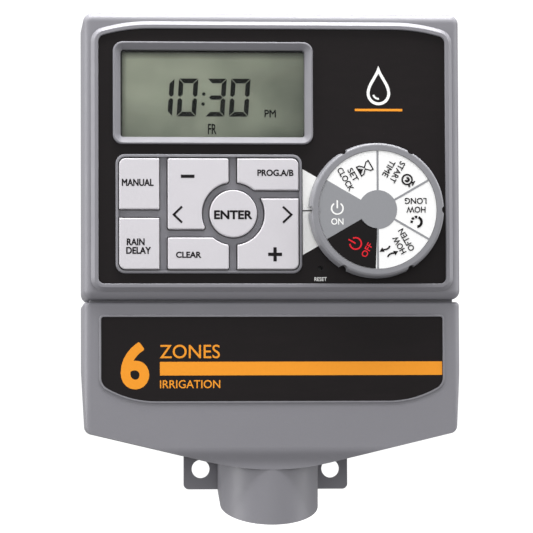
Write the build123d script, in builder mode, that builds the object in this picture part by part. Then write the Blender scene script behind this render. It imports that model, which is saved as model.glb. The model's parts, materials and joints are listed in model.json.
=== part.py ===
from build123d import *
import os
from math import asin, degrees, radians, tan

# Irrigation controller, wall mounted.
# Frame: +Z up, +X to the right, the front faces -Y and the wall is the plane Y = 0.
# The origin is on the wall, on the centre line, level with the seam between the housing
# and the terminal cover. A "depth" is a distance in front of the wall.

# ---------------------------------------------------------------- driving dimensions, mm
# Casing
half_width = 70.9
housing_top = 108.1
housing_bottom = 0.4
wall = 2.2
corner_r = 3.4
split_depth = 18.0
split_reveal = 0.2
face_depth = 40.0
face_inner = 37.6
back_thickness = 2.4
edge_round = 3.1
back_edge_round = 0.8
tongue_length = 4.5
tongue_thickness = 1.2
tongue_root = 3.0
fit_gap = 0.1
glue_gap = 0.02
boss_clearance = 0.3
post_clearance = 0.4
overcut = 1.0
pick_tol = 0.1
seam_lip_half_width = 68.3
seam_lip_front = 35.5
seam_lip_thickness = 2.0
seam_lip_drop = 3.0

# Front overlay and the raised lip around it
overlay_half_width = 65.2
overlay_top = 102.0
overlay_bottom = 6.4
overlay_arc_run = 19.5
overlay_arc_r = 64.0
overlay_corner_r = 2.6
overlay_foot_r = 2.0
overlay_thickness = 0.5
lip_width = 2.9
lip_height = 1.7
lip_root = 0.5
lip_slope = 1.4
lip_crest_round = 0.3
lip_inner_round = 0.35

# Display
lcd_centre = (-22.3, 77.85)
bezel_size = (75.1, 38.5)
bezel_corner_r = 3.6
bezel_height = 2.2
bezel_outer_round = 0.4
bezel_slope = 2.1
opening_size = (69.6, 33.2)
opening_corner_r = 1.2
opening_draft = 3.0
window_size = (72.4, 36.1)
window_depth = 36.3
window_thickness = 1.2
window_corner_r = 1.5
panel_size = (71.2, 34.9)
panel_depth = 33.2
panel_thickness = 2.8
panel_clearance = 0.1
holder_wall = 1.1
strip_size = (60.0, 2.2)
strip_inset = 2.0

# Keypad
keypad_x = (-58.9, 11.05)
keypad_z = (10.1, 54.8)
keypad_corner_r = 3.6
keypad_rim = 1.0
keypad_rim_height = 1.7
keypad_rim_round = 0.5
channel_height = 0.3
enter_centre = (-14.84, 32.46)
enter_r = 8.9
enter_ring_r = 11.8
left_column = (-57.6, -42.6)
middle_column = (-39.4, -16.6)
right_column = (-13.3, 9.7)
key_row_top = 53.2
key_row_bottom = 11.6
key_gap = 0.4
key_outer_corner_r = 2.4
key_corner_r = 0.7
key_top_depth = 42.2
key_edge_r = 0.5
key_back_depth = 35.2
flange_width = 0.8
press_flange_depth = 37.5
rocker_flange_depth = 36.6

# Keypad mat
mat_thickness = 1.15
dome_base_r = 4.5
dome_top_r = 3.6
dome_top_depth = 35.1
dome_cavity_r = 3.2
dome_cavity_depth = 33.6
pill_r = 2.2
pill_depth = 30.9
pill_thickness = 0.6
pill_seat_margin = 0.2
mat_margin = 0.6

# Dial
dial_centre = (38.9, 33.7)
knob_base_r = 25.5
knob_front_r = 25.0
knob_base_depth = 40.9
knob_front_depth = 48.0
knob_edge_r = 1.0
knob_roof = 2.0
knob_skirt = 1.8
insert_r = 22.15
insert_thickness = 0.8
insert_recess = 1.05
insert_gap = 0.15
index_r = 1.0
notch_r = 1.5
notch_offset = 0.2
notch_count = 6
stem_r = 5.0
stem_back_depth = 38.9
stem_hole_r = 5.6
shaft_r = 3.0
shaft_flat = 1.9
shaft_gap = 0.06
shaft_tip_depth = 45.2
shaft_bore_depth = 45.4
index_gap = 0.12

# Main circuit board, rotary switch and reset switch
board_half_width = 60.3
board_z = (7.0, 101.0)
board_depth = 28.4
board_thickness = 1.6
board_corner_r = 1.5
board_front = board_depth + board_thickness
seat_gap = 0.05
board_posts = ((-50.0, 56.75), (20.0, 97.2), (56.5, 97.2), (57.0, 10.4))
post_r = 1.9
post_hole_r = 1.05
switch_size = 22.0
switch_top_depth = 35.5
bushing_r = 4.4
bushing_depth = 38.5
rotor_r = 8.0
rotor_depth = 31.6
rotor_thickness = 1.2
rotor_gap = 0.4
rotor_pocket = 3.2
switch_floor = 0.9
switch_corner_r = 1.5
wiper_pad_r = 2.2
wiper_arm = (6.4, 2.0)
wiper_reach = 4.0
wiper_thickness = 0.4
reset_centre = (18.0, 12.0)
reset_hole_r = 0.95
reset_body_size = 6.0
reset_body_depth = 33.5
reset_plunger_r = 1.6
reset_plunger_depth = 36.9
reset_plunger_root = 1.6
reset_plunger_round = 0.3
reset_bore_gap = 0.1
reset_travel_gap = 0.4

# Parts on the back of the main board
chip_place = (-10.0, 66.0)
chip_size = 12.0
chip_thickness = 1.7
chip_standoff = 0.2
chip_lead_pitch = 0.9
chip_lead_count = 11
chip_lead_width = 0.4
chip_lead_thickness = 0.5
chip_lead_reach = 3.0
crystal_place = (10.0, 66.0)
crystal_size = (11.0, 4.6)
crystal_height = 3.6
capacitor_places = ((-12.0, 24.0), (0.0, 24.0), (12.0, 24.0))
capacitor_r = 4.0
capacitor_height = 10.5
can_round = 0.6

# Housing screws
screw_x = 64.5
screw_z = (6.8, 101.0)
screw_places = [(side * screw_x, z) for side in (-1, 1) for z in screw_z]
boss_r = 3.7
screw_hole_r = 1.75
screw_head_r = 2.8
screw_head_height = 2.2
screw_seat_depth = 9.0
screw_shank_r = 1.2
screw_tip_depth = 31.0
screw_slot = (3.4, 0.7)
screw_slot_depth = 1.2
screw_head_round = 0.6

# Board screws
board_screw_head_r = 2.2
board_screw_head_height = 1.5
board_screw_slot = (2.6, 0.6)
board_screw_slot_depth = 0.8
board_screw_bite = (5.0, 1.5)

# Rear housing, below the seam
plate_half_width = 67.0
plate_bottom = -46.0
plate_corner_r = 1.5
ear_width = 63.0
ear_bottom = -71.1
ear_overlap = 6.0
ear_corner_r = 2.0
ear_thickness = 3.0
ear_hole_pitch = 50.0
ear_hole_z = -63.3
ear_hole_r = 3.5
keyhole_z = 88.0
keyhole_r = 4.2
keyhole_slot_r = 2.1
keyhole_run = 7.0
back_panel_width = 96.0
back_panel_z = (18.0, 72.0)
back_panel_depth = 0.5
back_panel_corner_r = 4.0
rail_x = 63.0
rail_thickness = 1.6
rail_lip = 1.6
rail_depth = 9.3
rail_lip_thickness = 1.8
rail_z = (-44.0, -2.0)
cradle_wall = 1.4
cradle_inset = 3.0
cradle_height = 10.0
cradle_clearance = 0.3

# Terminal cover
cover_top = -0.5
cover_front = 38.0
cover_back = 0.8
cover_waist_z = -26.0
cover_foot = (69.6, -49.4)
cover_keel_z = -66.0
cover_keel_r = 95.0
cover_corner_r = 3.1
cover_edge_round = 2.9
cover_top_round = 1.3
cover_mouth = 4.0
ear_clearance = 0.5
tongue_reach = 65.0
tongue_depths = (4.6, 7.3)
tongue_spans = ((-41.0, -31.0), (-13.0, -3.0))
tongue_overlap = 0.8
keel_roll_z = (-62.0, -55.0)
keel_roll_front = 36.65
spout_x = 0.0
spout_r = 18.6
spout_axis_depth = 18.0
spout_back_depth = 3.4
spout_bottom = -84.0
spout_slant = 21.0

# Cover label
label_half_width = 64.2
label_top = -6.1
label_bottom = -37.6
label_arc_run = 20.5
label_arc_r = 37.0
label_corner_r = 4.5
label_top_corner_r = 0.9
label_thickness = 0.4
label_gap = 0.1
bead_width = 0.7
bead_height = 0.4
bead_round = 0.25

# Terminal board
terminal_board_x = (-61.0, 7.5)
terminal_board_z = (-44.0, -4.0)
terminal_board_depth = 8.0
terminal_posts = ((-57.5, -7.5), (4.0, -7.5), (-57.5, -40.5), (4.0, -40.5))
terminal_post_r = 2.6
way_pitch = 6.2
way_count = 10
block_centre_x = -26.75
block_z = (-27.0, -11.0)
block_front = 24.0
terminal_screw_r = 1.9
terminal_screw_z = -17.0
wire_entry = 4.2
wire_entry_depth = 15.2
block_chamfer = 3.0
terminal_screw_gap = 0.15
terminal_screw_length = 4.4
terminal_slot = (5.0, 0.7)
terminal_slot_depth = 0.8
terminal_slot_angle = 20.0
clamp_gap = 0.15
clamp_wall = 0.6
clamp_length = 6.0
triac_count = 7
triac_pitch = 7.2
triac_place = (-29.75, -36.0)
triac_r = 2.4
triac_flat = 1.4
triac_height = 4.8
triac_standoff = 2.5
triac_lead = 0.5
triac_lead_pitch = 1.27
varistor_x = (-1.5, 2.7)
varistor_z = -36.0
varistor_r = 5.5
varistor_standoff = 7.0
varistor_round = 1.2
varistor_lead = 0.6
varistor_lead_pitch = 5.0

# Backup battery
battery_x = (14.0, 62.5)
battery_z = (-33.0, -6.5)
battery_depth = 2.5
battery_thickness = 17.5
battery_corner_r = 2.0
battery_edge_round = 0.4
stud_pitch = 12.7
stud_length = 2.6
stud_r = 2.8
socket_r = 4.2
clip_gap = 0.1
clip_thickness = 1.2
clip_margins = (1.5, 1.0)

# Cables
header_z = (14.5, -7.5)
header_height = 6.0
header_width = 5.0
header_margin = 1.5
ribbon_x = (-44.0, -30.0)
ribbon_thickness = 0.9
ribbon_notch = (-46.0, -28.0)
lead_notch = (7.0, 14.0)
notch_depth = 12.0
notch_height = 6.6
ribbon_bend_depth = 15.0
ribbon_low_bend_depth = 17.35
lead_r = 0.65
lead_starts = ((9.0, 0.0), (14.0, -1.8))
lead_clip_inset = 2.0
lead_below_floor = (-1.0, -14.6, -2.0)
lead_above_floor = (-1.6, -14.8, 3.5)
lead_rise = (-2.0, -20.0, 12.0)
lead_end_z = 16.0


# ---------------------------------------------------------------- planes and outlines
def front_plane(depth):
    """Sketch plane that faces the user: sketch x is X and sketch y is Z."""
    return Plane.XZ.offset(depth)


def middle(span):
    """Middle of a (low, high) span."""
    return (span[0] + span[1]) / 2


def length(span):
    """Length of a (low, high) span."""
    return span[1] - span[0]


def housing_outline(inset=0.0):
    """Outline of the upper casing, seen from the front."""
    low = housing_bottom + inset
    high = housing_top - inset
    with BuildSketch(mode=Mode.PRIVATE) as outline:
        with Locations((0, (low + high) / 2)):
            RectangleRounded(2 * (half_width - inset), high - low, corner_r - inset / 2)
    return outline.sketch_local


def overlay_outline(grow=0.0):
    """Front overlay: square feet, and shoulders that fall away in long shallow arcs."""
    run_angle = degrees(asin(overlay_arc_run / overlay_arc_r))
    shoulder_x = overlay_half_width - overlay_arc_run
    with BuildSketch(mode=Mode.PRIVATE) as outline:
        with BuildLine():
            Line((0, overlay_top), (shoulder_x, overlay_top))
            shoulder = JernArc((shoulder_x, overlay_top), (1, 0), overlay_arc_r, -run_angle)
            Polyline(shoulder @ 1, (overlay_half_width, overlay_bottom), (0, overlay_bottom))
            mirror(about=Plane.YZ)
        make_face()
        for row, radius in ((-1, overlay_corner_r), (0, overlay_foot_r)):
            corners = outline.vertices().filter_by(lambda v: abs(v.X) > overlay_half_width - pick_tol)
            fillet(corners.group_by(Axis.Y)[row], radius)
        if grow:
            offset(amount=grow)
    return outline.sketch_local


def cover_outline(top):
    """Terminal cover: slightly tapered sides and a shallow keel that leads to the spout."""
    with BuildSketch(mode=Mode.PRIVATE) as outline:
        with BuildLine():
            Polyline(
                (-half_width, top),
                (-half_width, cover_waist_z),
                (-cover_foot[0], cover_foot[1]),
                (spout_x, cover_keel_z),
                (cover_foot[0], cover_foot[1]),
                (half_width, cover_waist_z),
                (half_width, top),
                close=True,
            )
        make_face()
        rows = outline.vertices().group_by(Axis.Y)
        fillet(rows[0], cover_keel_r)
        feet = outline.vertices().filter_by(lambda v: abs(v.X) > cover_foot[0] - pick_tol)
        fillet(feet.group_by(Axis.Y)[0], cover_corner_r)
    return outline.sketch_local


def label_outline(grow=0.0):
    """Cover label: small top corners, and bottom corners swept up in long arcs."""
    run_angle = degrees(asin(label_arc_run / label_arc_r))
    foot_x = label_half_width - label_arc_run
    with BuildSketch(mode=Mode.PRIVATE) as outline:
        with BuildLine():
            Line((0, label_bottom), (foot_x, label_bottom))
            sweep_up = JernArc((foot_x, label_bottom), (1, 0), label_arc_r, run_angle)
            Polyline(sweep_up @ 1, (label_half_width, label_top), (0, label_top))
            mirror(about=Plane.YZ)
        make_face()
        for row, radius in ((0, label_corner_r), (-1, label_top_corner_r)):
            corners = outline.vertices().filter_by(lambda v: abs(v.X) > label_half_width - pick_tol)
            fillet(corners.group_by(Axis.Y)[row], radius)
        if grow:
            offset(amount=grow)
    return outline.sketch_local


def keypad_outline(inset=0.0):
    """Rounded rectangle around all the keys."""
    with BuildSketch(mode=Mode.PRIVATE) as outline:
        with Locations((middle(keypad_x), middle(keypad_z))):
            RectangleRounded(
                length(keypad_x) - 2 * inset, length(keypad_z) - 2 * inset, keypad_corner_r - inset
            )
    return outline.sketch_local


# Keys around ENTER: X span, Z span, and the corner that follows the corner of the keypad.
key_spans = {
    "manual_key": (left_column, (34.1, key_row_top), (left_column[0], key_row_top)),
    "rain_delay_key": (left_column, (key_row_bottom, 30.8), (left_column[0], key_row_bottom)),
    "minus_left_key": (middle_column, (26.6, key_row_top), None),
    "clear_key": (middle_column, (key_row_bottom, 23.5), None),
    "program_key": (right_column, (41.3, key_row_top), (right_column[1], key_row_top)),
    "right_plus_key": (right_column, (key_row_bottom, 38.2), (right_column[1], key_row_bottom)),
}
rocker_keys = ("minus_left_key", "right_plus_key")

# Contact points on the mat, one for each key and two for each rocker.
contacts = (
    (-50.0, 43.7),
    (-50.0, 21.3),
    (-32.0, 46.6),
    (-33.2, 32.6),
    (-30.5, 17.5),
    (2.5, 47.3),
    (3.6, 32.3),
    (0.5, 18.2),
    enter_centre,
)


def key_outline(name, grow=0.0):
    """One key seen from the front; the keys next to ENTER are cut back in a ring around it."""
    with BuildSketch(mode=Mode.PRIVATE) as outline:
        if name == "enter_key":
            with Locations(enter_centre):
                Circle(enter_r)
        else:
            x_span, z_span, outer_corner = key_spans[name]
            with Locations((middle(x_span), middle(z_span))):
                Rectangle(length(x_span), length(z_span))
            with Locations(enter_centre):
                Circle(enter_ring_r, mode=Mode.SUBTRACT)
            corners = outline.vertices()
            if outer_corner:
                corners = corners.sort_by_distance(Vertex(*outer_corner))
                fillet(corners[0], key_outer_corner_r)
                corners = corners[1:]
            fillet(corners, key_corner_r)
        if grow:
            offset(amount=grow)
    return outline.sketch_local


key_names = [*key_spans, "enter_key"]


# ---------------------------------------------------------------- front housing
with BuildPart() as front_housing:
    with BuildSketch(front_plane(split_depth + split_reveal)):
        add(housing_outline())
    extrude(amount=face_depth - split_depth - split_reveal)
    fillet(front_housing.faces().sort_by(Axis.Y)[0].edges(), edge_round)

    # Raised lip that frames the overlay
    with BuildSketch(front_plane(face_depth - lip_root)):
        add(overlay_outline(lip_width))
    extrude(amount=lip_root + lip_height)
    with BuildSketch(front_plane(face_depth)):
        add(overlay_outline(fit_gap))
    extrude(amount=lip_height, mode=Mode.SUBTRACT)
    lip_top = front_housing.faces().sort_by(Axis.Y)[0]
    chamfer(lip_top.outer_wire().edges(), lip_slope)
    lip_top = front_housing.faces().sort_by(Axis.Y)[0]
    fillet(lip_top.outer_wire().edges(), lip_crest_round)
    lip_top = front_housing.faces().sort_by(Axis.Y)[0]
    fillet(lip_top.inner_wires()[0].edges(), lip_inner_round)

    # Display bezel and keypad rim
    with BuildSketch(front_plane(face_depth)):
        with Locations(lcd_centre):
            RectangleRounded(*bezel_size, bezel_corner_r)
    extrude(amount=bezel_height)
    fillet(front_housing.faces().sort_by(Axis.Y)[0].edges(), bezel_outer_round)
    with BuildSketch(front_plane(face_depth)):
        add(keypad_outline())
        add(keypad_outline(keypad_rim), mode=Mode.SUBTRACT)
    extrude(amount=keypad_rim_height)
    with BuildSketch(front_plane(face_depth)):
        add(keypad_outline(keypad_rim / 2))
    extrude(amount=channel_height)
    rim_top = front_housing.faces().filter_by(Plane.XZ).sort_by(Axis.Y)
    rim_top = rim_top.filter_by(lambda f: abs(f.center().Y + face_depth + keypad_rim_height) < pick_tol)
    fillet(rim_top[0].outer_wire().edges(), keypad_rim_round)

    # Hollow behind the face plate
    with BuildSketch(front_plane(split_depth)):
        add(housing_outline(wall))
    extrude(amount=face_inner - split_depth, mode=Mode.SUBTRACT)

    # Lip that hangs behind the top edge of the terminal cover
    with BuildSketch(Plane.XY.offset(-seam_lip_drop)):
        with Locations((0, -(split_depth + split_reveal + seam_lip_front) / 2)):
            Rectangle(2 * seam_lip_half_width, seam_lip_front - split_depth - split_reveal)
        with Locations((0, -(split_depth + split_reveal + seam_lip_front) / 2 + seam_lip_thickness)):
            Rectangle(
                2 * (seam_lip_half_width - seam_lip_thickness),
                seam_lip_front - split_depth - split_reveal,
                mode=Mode.SUBTRACT,
            )
    extrude(amount=seam_lip_drop + housing_bottom + lip_root)

    # Screw bosses and board posts
    with BuildSketch(front_plane(split_depth + split_reveal)):
        with Locations(*screw_places):
            Circle(boss_r)
            Circle(screw_shank_r + seat_gap, mode=Mode.SUBTRACT)
    extrude(amount=face_inner - split_depth - split_reveal)
    with BuildSketch(front_plane(board_front + seat_gap)):
        with Locations(*board_posts):
            Circle(post_r)
            Circle(post_hole_r, mode=Mode.SUBTRACT)
    extrude(amount=face_inner - board_front - seat_gap)

    # Openings: display with drafted walls, keys, dial stem and reset
    with BuildSketch(front_plane(face_depth + bezel_height)):
        with Locations(lcd_centre):
            RectangleRounded(*opening_size, opening_corner_r)
    extrude(amount=-(bezel_height + face_depth - face_inner), taper=opening_draft, mode=Mode.SUBTRACT)
    bezel_front = front_housing.faces().sort_by(Axis.Y)[0]
    chamfer(bezel_front.inner_wires()[0].edges(), bezel_slope)
    with BuildSketch(front_plane(face_inner)):
        for name in key_names:
            add(key_outline(name, key_gap))
        with Locations(dial_centre):
            Circle(stem_hole_r)
        with Locations(reset_centre):
            Circle(reset_hole_r)
    extrude(amount=face_depth, mode=Mode.SUBTRACT)


# ---------------------------------------------------------------- rear housing
with BuildPart() as rear_housing:
    with BuildSketch(front_plane(0)):
        add(housing_outline())
    extrude(amount=split_depth)
    fillet(rear_housing.faces().sort_by(Axis.Y)[-1].edges(), back_edge_round)
    with BuildSketch(front_plane(back_thickness)):
        add(housing_outline(wall))
    extrude(amount=split_depth, mode=Mode.SUBTRACT)

    # Locating tongue inside the front housing
    with BuildSketch(front_plane(split_depth - tongue_root)):
        add(housing_outline(wall + fit_gap))
        add(housing_outline(wall + fit_gap + tongue_thickness), mode=Mode.SUBTRACT)
    extrude(amount=tongue_length)
    with BuildSketch(front_plane(split_depth - tongue_root)):
        add(housing_outline(wall - tongue_thickness / 2))
        add(housing_outline(wall + tongue_thickness / 2), mode=Mode.SUBTRACT)
    extrude(amount=tongue_root)
    with BuildSketch(front_plane(split_depth)):
        with Locations(*screw_places):
            Circle(boss_r + boss_clearance)
    extrude(amount=tongue_length, mode=Mode.SUBTRACT)

    # Lower plate behind the terminals, and the ear plate with its two holes
    with BuildSketch(front_plane(0)):
        with Locations((0, (plate_bottom + housing_bottom + wall) / 2)):
            RectangleRounded(2 * plate_half_width, housing_bottom + wall - plate_bottom, plate_corner_r)
    extrude(amount=back_thickness)
    with BuildSketch(front_plane(0)):
        with Locations((0, (ear_bottom + plate_bottom + ear_overlap) / 2)):
            RectangleRounded(ear_width, plate_bottom + ear_overlap - ear_bottom, ear_corner_r)
        with Locations((0, ear_hole_z)):
            with GridLocations(ear_hole_pitch, 1, 2, 1):
                Circle(ear_hole_r, mode=Mode.SUBTRACT)
    extrude(amount=ear_thickness)

    # Rails that the terminal cover slides on
    with BuildSketch(Plane.XY.offset(rail_z[0])):
        with Locations((rail_x + rail_thickness / 2, -rail_depth / 2)):
            Rectangle(rail_thickness, rail_depth)
        with Locations((rail_x + (rail_thickness + rail_lip) / 2, -rail_depth + rail_lip_thickness / 2)):
            Rectangle(rail_thickness + rail_lip, rail_lip_thickness)
        mirror(about=Plane.YZ)
    extrude(amount=length(rail_z))

    # Battery cradle, board posts and screw bosses
    with BuildSketch(front_plane(back_thickness)):
        with Locations((middle(battery_x), middle(battery_z))):
            with GridLocations(1, length(battery_z) + cradle_wall + 2 * cradle_clearance, 1, 2):
                Rectangle(length(battery_x) - 2 * cradle_inset, cradle_wall)
    extrude(amount=cradle_height)
    with BuildSketch(front_plane(back_thickness)):
        with Locations(*terminal_posts):
            Circle(terminal_post_r)
            Circle(post_hole_r, mode=Mode.SUBTRACT)
    extrude(amount=terminal_board_depth - back_thickness - seat_gap)
    with BuildSketch(front_plane(back_thickness)):
        with Locations(*screw_places):
            Circle(boss_r)
    extrude(amount=split_depth - back_thickness)

    # Screw holes, sunk from the back
    with BuildSketch(front_plane(0)):
        with Locations(*screw_places):
            Circle(screw_hole_r)
    extrude(amount=split_depth, mode=Mode.SUBTRACT)
    with BuildSketch(front_plane(0)):
        with Locations(*screw_places):
            Circle(screw_head_r + boss_clearance)
    extrude(amount=screw_seat_depth, mode=Mode.SUBTRACT)

    # Shallow blank panel on the back
    with BuildSketch(front_plane(0)):
        with Locations((0, middle(back_panel_z))):
            RectangleRounded(back_panel_width, length(back_panel_z), back_panel_corner_r)
    extrude(amount=back_panel_depth, mode=Mode.SUBTRACT)

    # Keyhole for the upper wall screw
    with BuildSketch(front_plane(0)):
        with Locations((0, keyhole_z)):
            Circle(keyhole_r)
        with Locations((0, keyhole_z + keyhole_run / 2)):
            SlotCenterToCenter(keyhole_run, 2 * keyhole_slot_r, rotation=90)
    extrude(amount=back_thickness, mode=Mode.SUBTRACT)

    # Notches in the floor for the ribbon cable and the battery leads
    with BuildSketch(front_plane(notch_depth)):
        for notch in (ribbon_notch, lead_notch):
            with Locations((middle(notch), housing_bottom + wall / 2)):
                Rectangle(length(notch), notch_height)
    extrude(amount=split_depth, mode=Mode.SUBTRACT)


# ---------------------------------------------------------------- terminal cover
with BuildPart() as terminal_cover:
    # Body: front outline, rounded along both sides and the top edge
    with BuildSketch(front_plane(cover_back)):
        add(cover_outline(cover_top))
    extrude(amount=cover_front - cover_back)
    with BuildSketch(Plane.XY.offset(cover_keel_z)) as section:
        with Locations((0, -cover_front / 2)):
            Rectangle(2 * half_width, cover_front)
        fillet(section.vertices().group_by(Axis.Y)[0], cover_edge_round)
    extrude(amount=cover_top - cover_keel_z, mode=Mode.INTERSECT)
    top_edge = terminal_cover.faces().sort_by(Axis.Y)[0].edges().sort_by(Axis.Z)[-1]
    fillet(top_edge, cover_top_round)

    # The foot of the face rolls back to meet the spout
    low, high = keel_roll_z
    with BuildSketch(Plane.YZ):
        with BuildLine():
            roll = Bezier(
                (-cover_front, high),
                (-cover_front, (low + high) / 2),
                (-keel_roll_front, (low + high) / 2),
                (-keel_roll_front, low),
            )
            Polyline(
                roll @ 1,
                (-keel_roll_front, cover_keel_z),
                (-cover_front - overcut, cover_keel_z),
                (-cover_front - overcut, high),
                roll @ 0,
            )
        make_face()
    extrude(amount=half_width, both=True, mode=Mode.SUBTRACT)

    # Spout: round in front, flat behind, its end cut on a slant that hides the cables
    with BuildSketch(Plane.XY.offset(spout_bottom)):
        with Locations((spout_x, -spout_axis_depth)):
            Circle(spout_r)
        with Locations((spout_x, -(spout_axis_depth + spout_back_depth) / 2)):
            Rectangle(2 * spout_r, spout_axis_depth - spout_back_depth)
        with Locations((spout_x, spout_r - spout_back_depth)):
            Rectangle(4 * spout_r, 2 * spout_r, mode=Mode.SUBTRACT)
    extrude(amount=-spout_bottom + cover_foot[1])
    spout_front = spout_axis_depth + spout_r
    slant_rise = spout_front * tan(radians(spout_slant))
    with BuildSketch(Plane.YZ):
        with BuildLine():
            Polyline(
                (-spout_front, spout_bottom),
                (0, spout_bottom + slant_rise),
                (0, spout_bottom - overcut),
                (-spout_front, spout_bottom - overcut),
                close=True,
            )
        make_face()
    extrude(amount=2 * spout_r, both=True, mode=Mode.SUBTRACT)

    # Hollow body, open at the top and behind, and the duct through the spout
    with BuildSketch(front_plane(cover_back)):
        add(offset(cover_outline(cover_top + cover_mouth), amount=-wall, mode=Mode.PRIVATE))
    extrude(amount=cover_front - cover_back - wall, mode=Mode.SUBTRACT)
    with BuildSketch(Plane.XY.offset(spout_bottom - overcut)):
        with Locations((spout_x, -spout_axis_depth)):
            Circle(spout_r - wall)
        with Locations((spout_x, -(spout_axis_depth + spout_back_depth + wall) / 2)):
            Rectangle(2 * (spout_r - wall), spout_axis_depth - spout_back_depth - wall)
        with Locations((spout_x, spout_r - spout_back_depth - wall)):
            Rectangle(4 * spout_r, 2 * spout_r, mode=Mode.SUBTRACT)
    extrude(amount=-spout_bottom + cover_foot[1], mode=Mode.SUBTRACT)

    # Clearance for the ear plate
    with BuildSketch(front_plane(0)):
        with Locations((0, (ear_bottom + plate_bottom) / 2)):
            Rectangle(ear_width + 2 * ear_clearance, 2 * (plate_bottom - ear_bottom))
    extrude(amount=spout_back_depth, mode=Mode.SUBTRACT)

    # Label recess inside a fine raised bead
    with BuildSketch(front_plane(cover_front - label_thickness)):
        add(label_outline(label_gap + bead_width))
    extrude(amount=label_thickness + bead_height)
    fillet(terminal_cover.faces().sort_by(Axis.Y)[0].edges(), bead_round)
    with BuildSketch(front_plane(cover_front - label_thickness)):
        add(label_outline(label_gap))
    extrude(amount=wall, mode=Mode.SUBTRACT)

    # Tongues that run behind the rail lips
    with BuildSketch(front_plane(tongue_depths[0])):
        for span in tongue_spans:
            with Locations(((half_width - wall + tongue_reach) / 2, middle(span))):
                Rectangle(half_width - wall - tongue_reach + tongue_overlap, length(span))
        mirror(about=Plane.YZ)
    extrude(amount=length(tongue_depths))


# ---------------------------------------------------------------- overlay and label
with BuildPart() as front_overlay:
    with BuildSketch(front_plane(face_depth + glue_gap)):
        add(overlay_outline())
        with Locations(lcd_centre):
            RectangleRounded(
                bezel_size[0] + 2 * fit_gap, bezel_size[1] + 2 * fit_gap, bezel_corner_r, mode=Mode.SUBTRACT
            )
        add(keypad_outline(-fit_gap), mode=Mode.SUBTRACT)
        with Locations(dial_centre):
            Circle(stem_hole_r + post_clearance, mode=Mode.SUBTRACT)
        with Locations(reset_centre):
            Circle(reset_hole_r, mode=Mode.SUBTRACT)
    extrude(amount=overlay_thickness)

with BuildPart() as cover_label:
    with BuildSketch(front_plane(cover_front - label_thickness + glue_gap)):
        add(label_outline())
    extrude(amount=label_thickness)


# ---------------------------------------------------------------- display
with BuildPart() as lcd_window:
    with BuildSketch(front_plane(window_depth)):
        with Locations(lcd_centre):
            RectangleRounded(*window_size, window_corner_r)
    extrude(amount=window_thickness)

with BuildPart() as lcd_panel:
    with BuildSketch(front_plane(panel_depth)):
        with Locations(lcd_centre):
            Rectangle(*panel_size)
    extrude(amount=panel_thickness)

with BuildPart() as lcd_holder:
    with BuildSketch(front_plane(board_front + seat_gap)):
        with Locations(lcd_centre):
            Rectangle(
                panel_size[0] + 2 * (panel_clearance + holder_wall),
                panel_size[1] + 2 * (panel_clearance + holder_wall),
            )
            Rectangle(
                panel_size[0] + 2 * panel_clearance,
                panel_size[1] + 2 * panel_clearance,
                mode=Mode.SUBTRACT,
            )
    extrude(amount=window_depth - board_front - 2 * seat_gap)

with BuildPart() as contact_strips:
    with BuildSketch(front_plane(board_front + seat_gap)):
        with Locations(lcd_centre):
            with GridLocations(1, panel_size[1] - 2 * strip_inset, 1, 2):
                Rectangle(*strip_size)
    extrude(amount=panel_depth - board_front - 2 * seat_gap)


# ---------------------------------------------------------------- keys and mat
def make_key(name):
    """Key cap with a flange that holds it behind the face plate."""
    flange_depth = rocker_flange_depth if name in rocker_keys else press_flange_depth
    with BuildPart() as key:
        with BuildSketch(front_plane(key_back_depth)):
            add(key_outline(name, flange_width))
        extrude(amount=flange_depth - key_back_depth)
        with BuildSketch(front_plane(flange_depth)):
            add(key_outline(name))
        extrude(amount=key_top_depth - flange_depth)
        fillet(key.faces().sort_by(Axis.Y)[0].edges(), key_edge_r)
    return key


keys = {name: make_key(name) for name in key_names}

with BuildPart() as keypad_mat:
    with BuildSketch(front_plane(board_front + seat_gap)):
        add(keypad_outline(mat_margin))
    extrude(amount=mat_thickness)
    dome_height = dome_top_depth - board_front - seat_gap - mat_thickness
    with Locations(*[Location((x, -dome_top_depth + dome_height / 2, z)) for x, z in contacts]):
        Cone(dome_base_r, dome_top_r, dome_height, rotation=(90, 0, 0))
    with BuildSketch(front_plane(board_front)):
        with Locations(*contacts):
            Circle(dome_cavity_r)
    extrude(amount=dome_cavity_depth - board_front, mode=Mode.SUBTRACT)
    with BuildSketch(front_plane(pill_depth + pill_thickness)):
        with Locations(*contacts):
            Circle(pill_r + pill_seat_margin)
    extrude(amount=dome_cavity_depth - pill_depth - pill_thickness + pill_seat_margin)

with BuildPart() as carbon_pills:
    with BuildSketch(front_plane(pill_depth)):
        with Locations(*contacts):
            Circle(pill_r)
    extrude(amount=pill_thickness - glue_gap / 2)


# ---------------------------------------------------------------- dial
def dial_plane(depth):
    """Sketch plane with its origin on the dial axis."""
    return Plane(origin=(dial_centre[0], -depth, dial_centre[1]), x_dir=(1, 0, 0), z_dir=(0, -1, 0))


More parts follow.
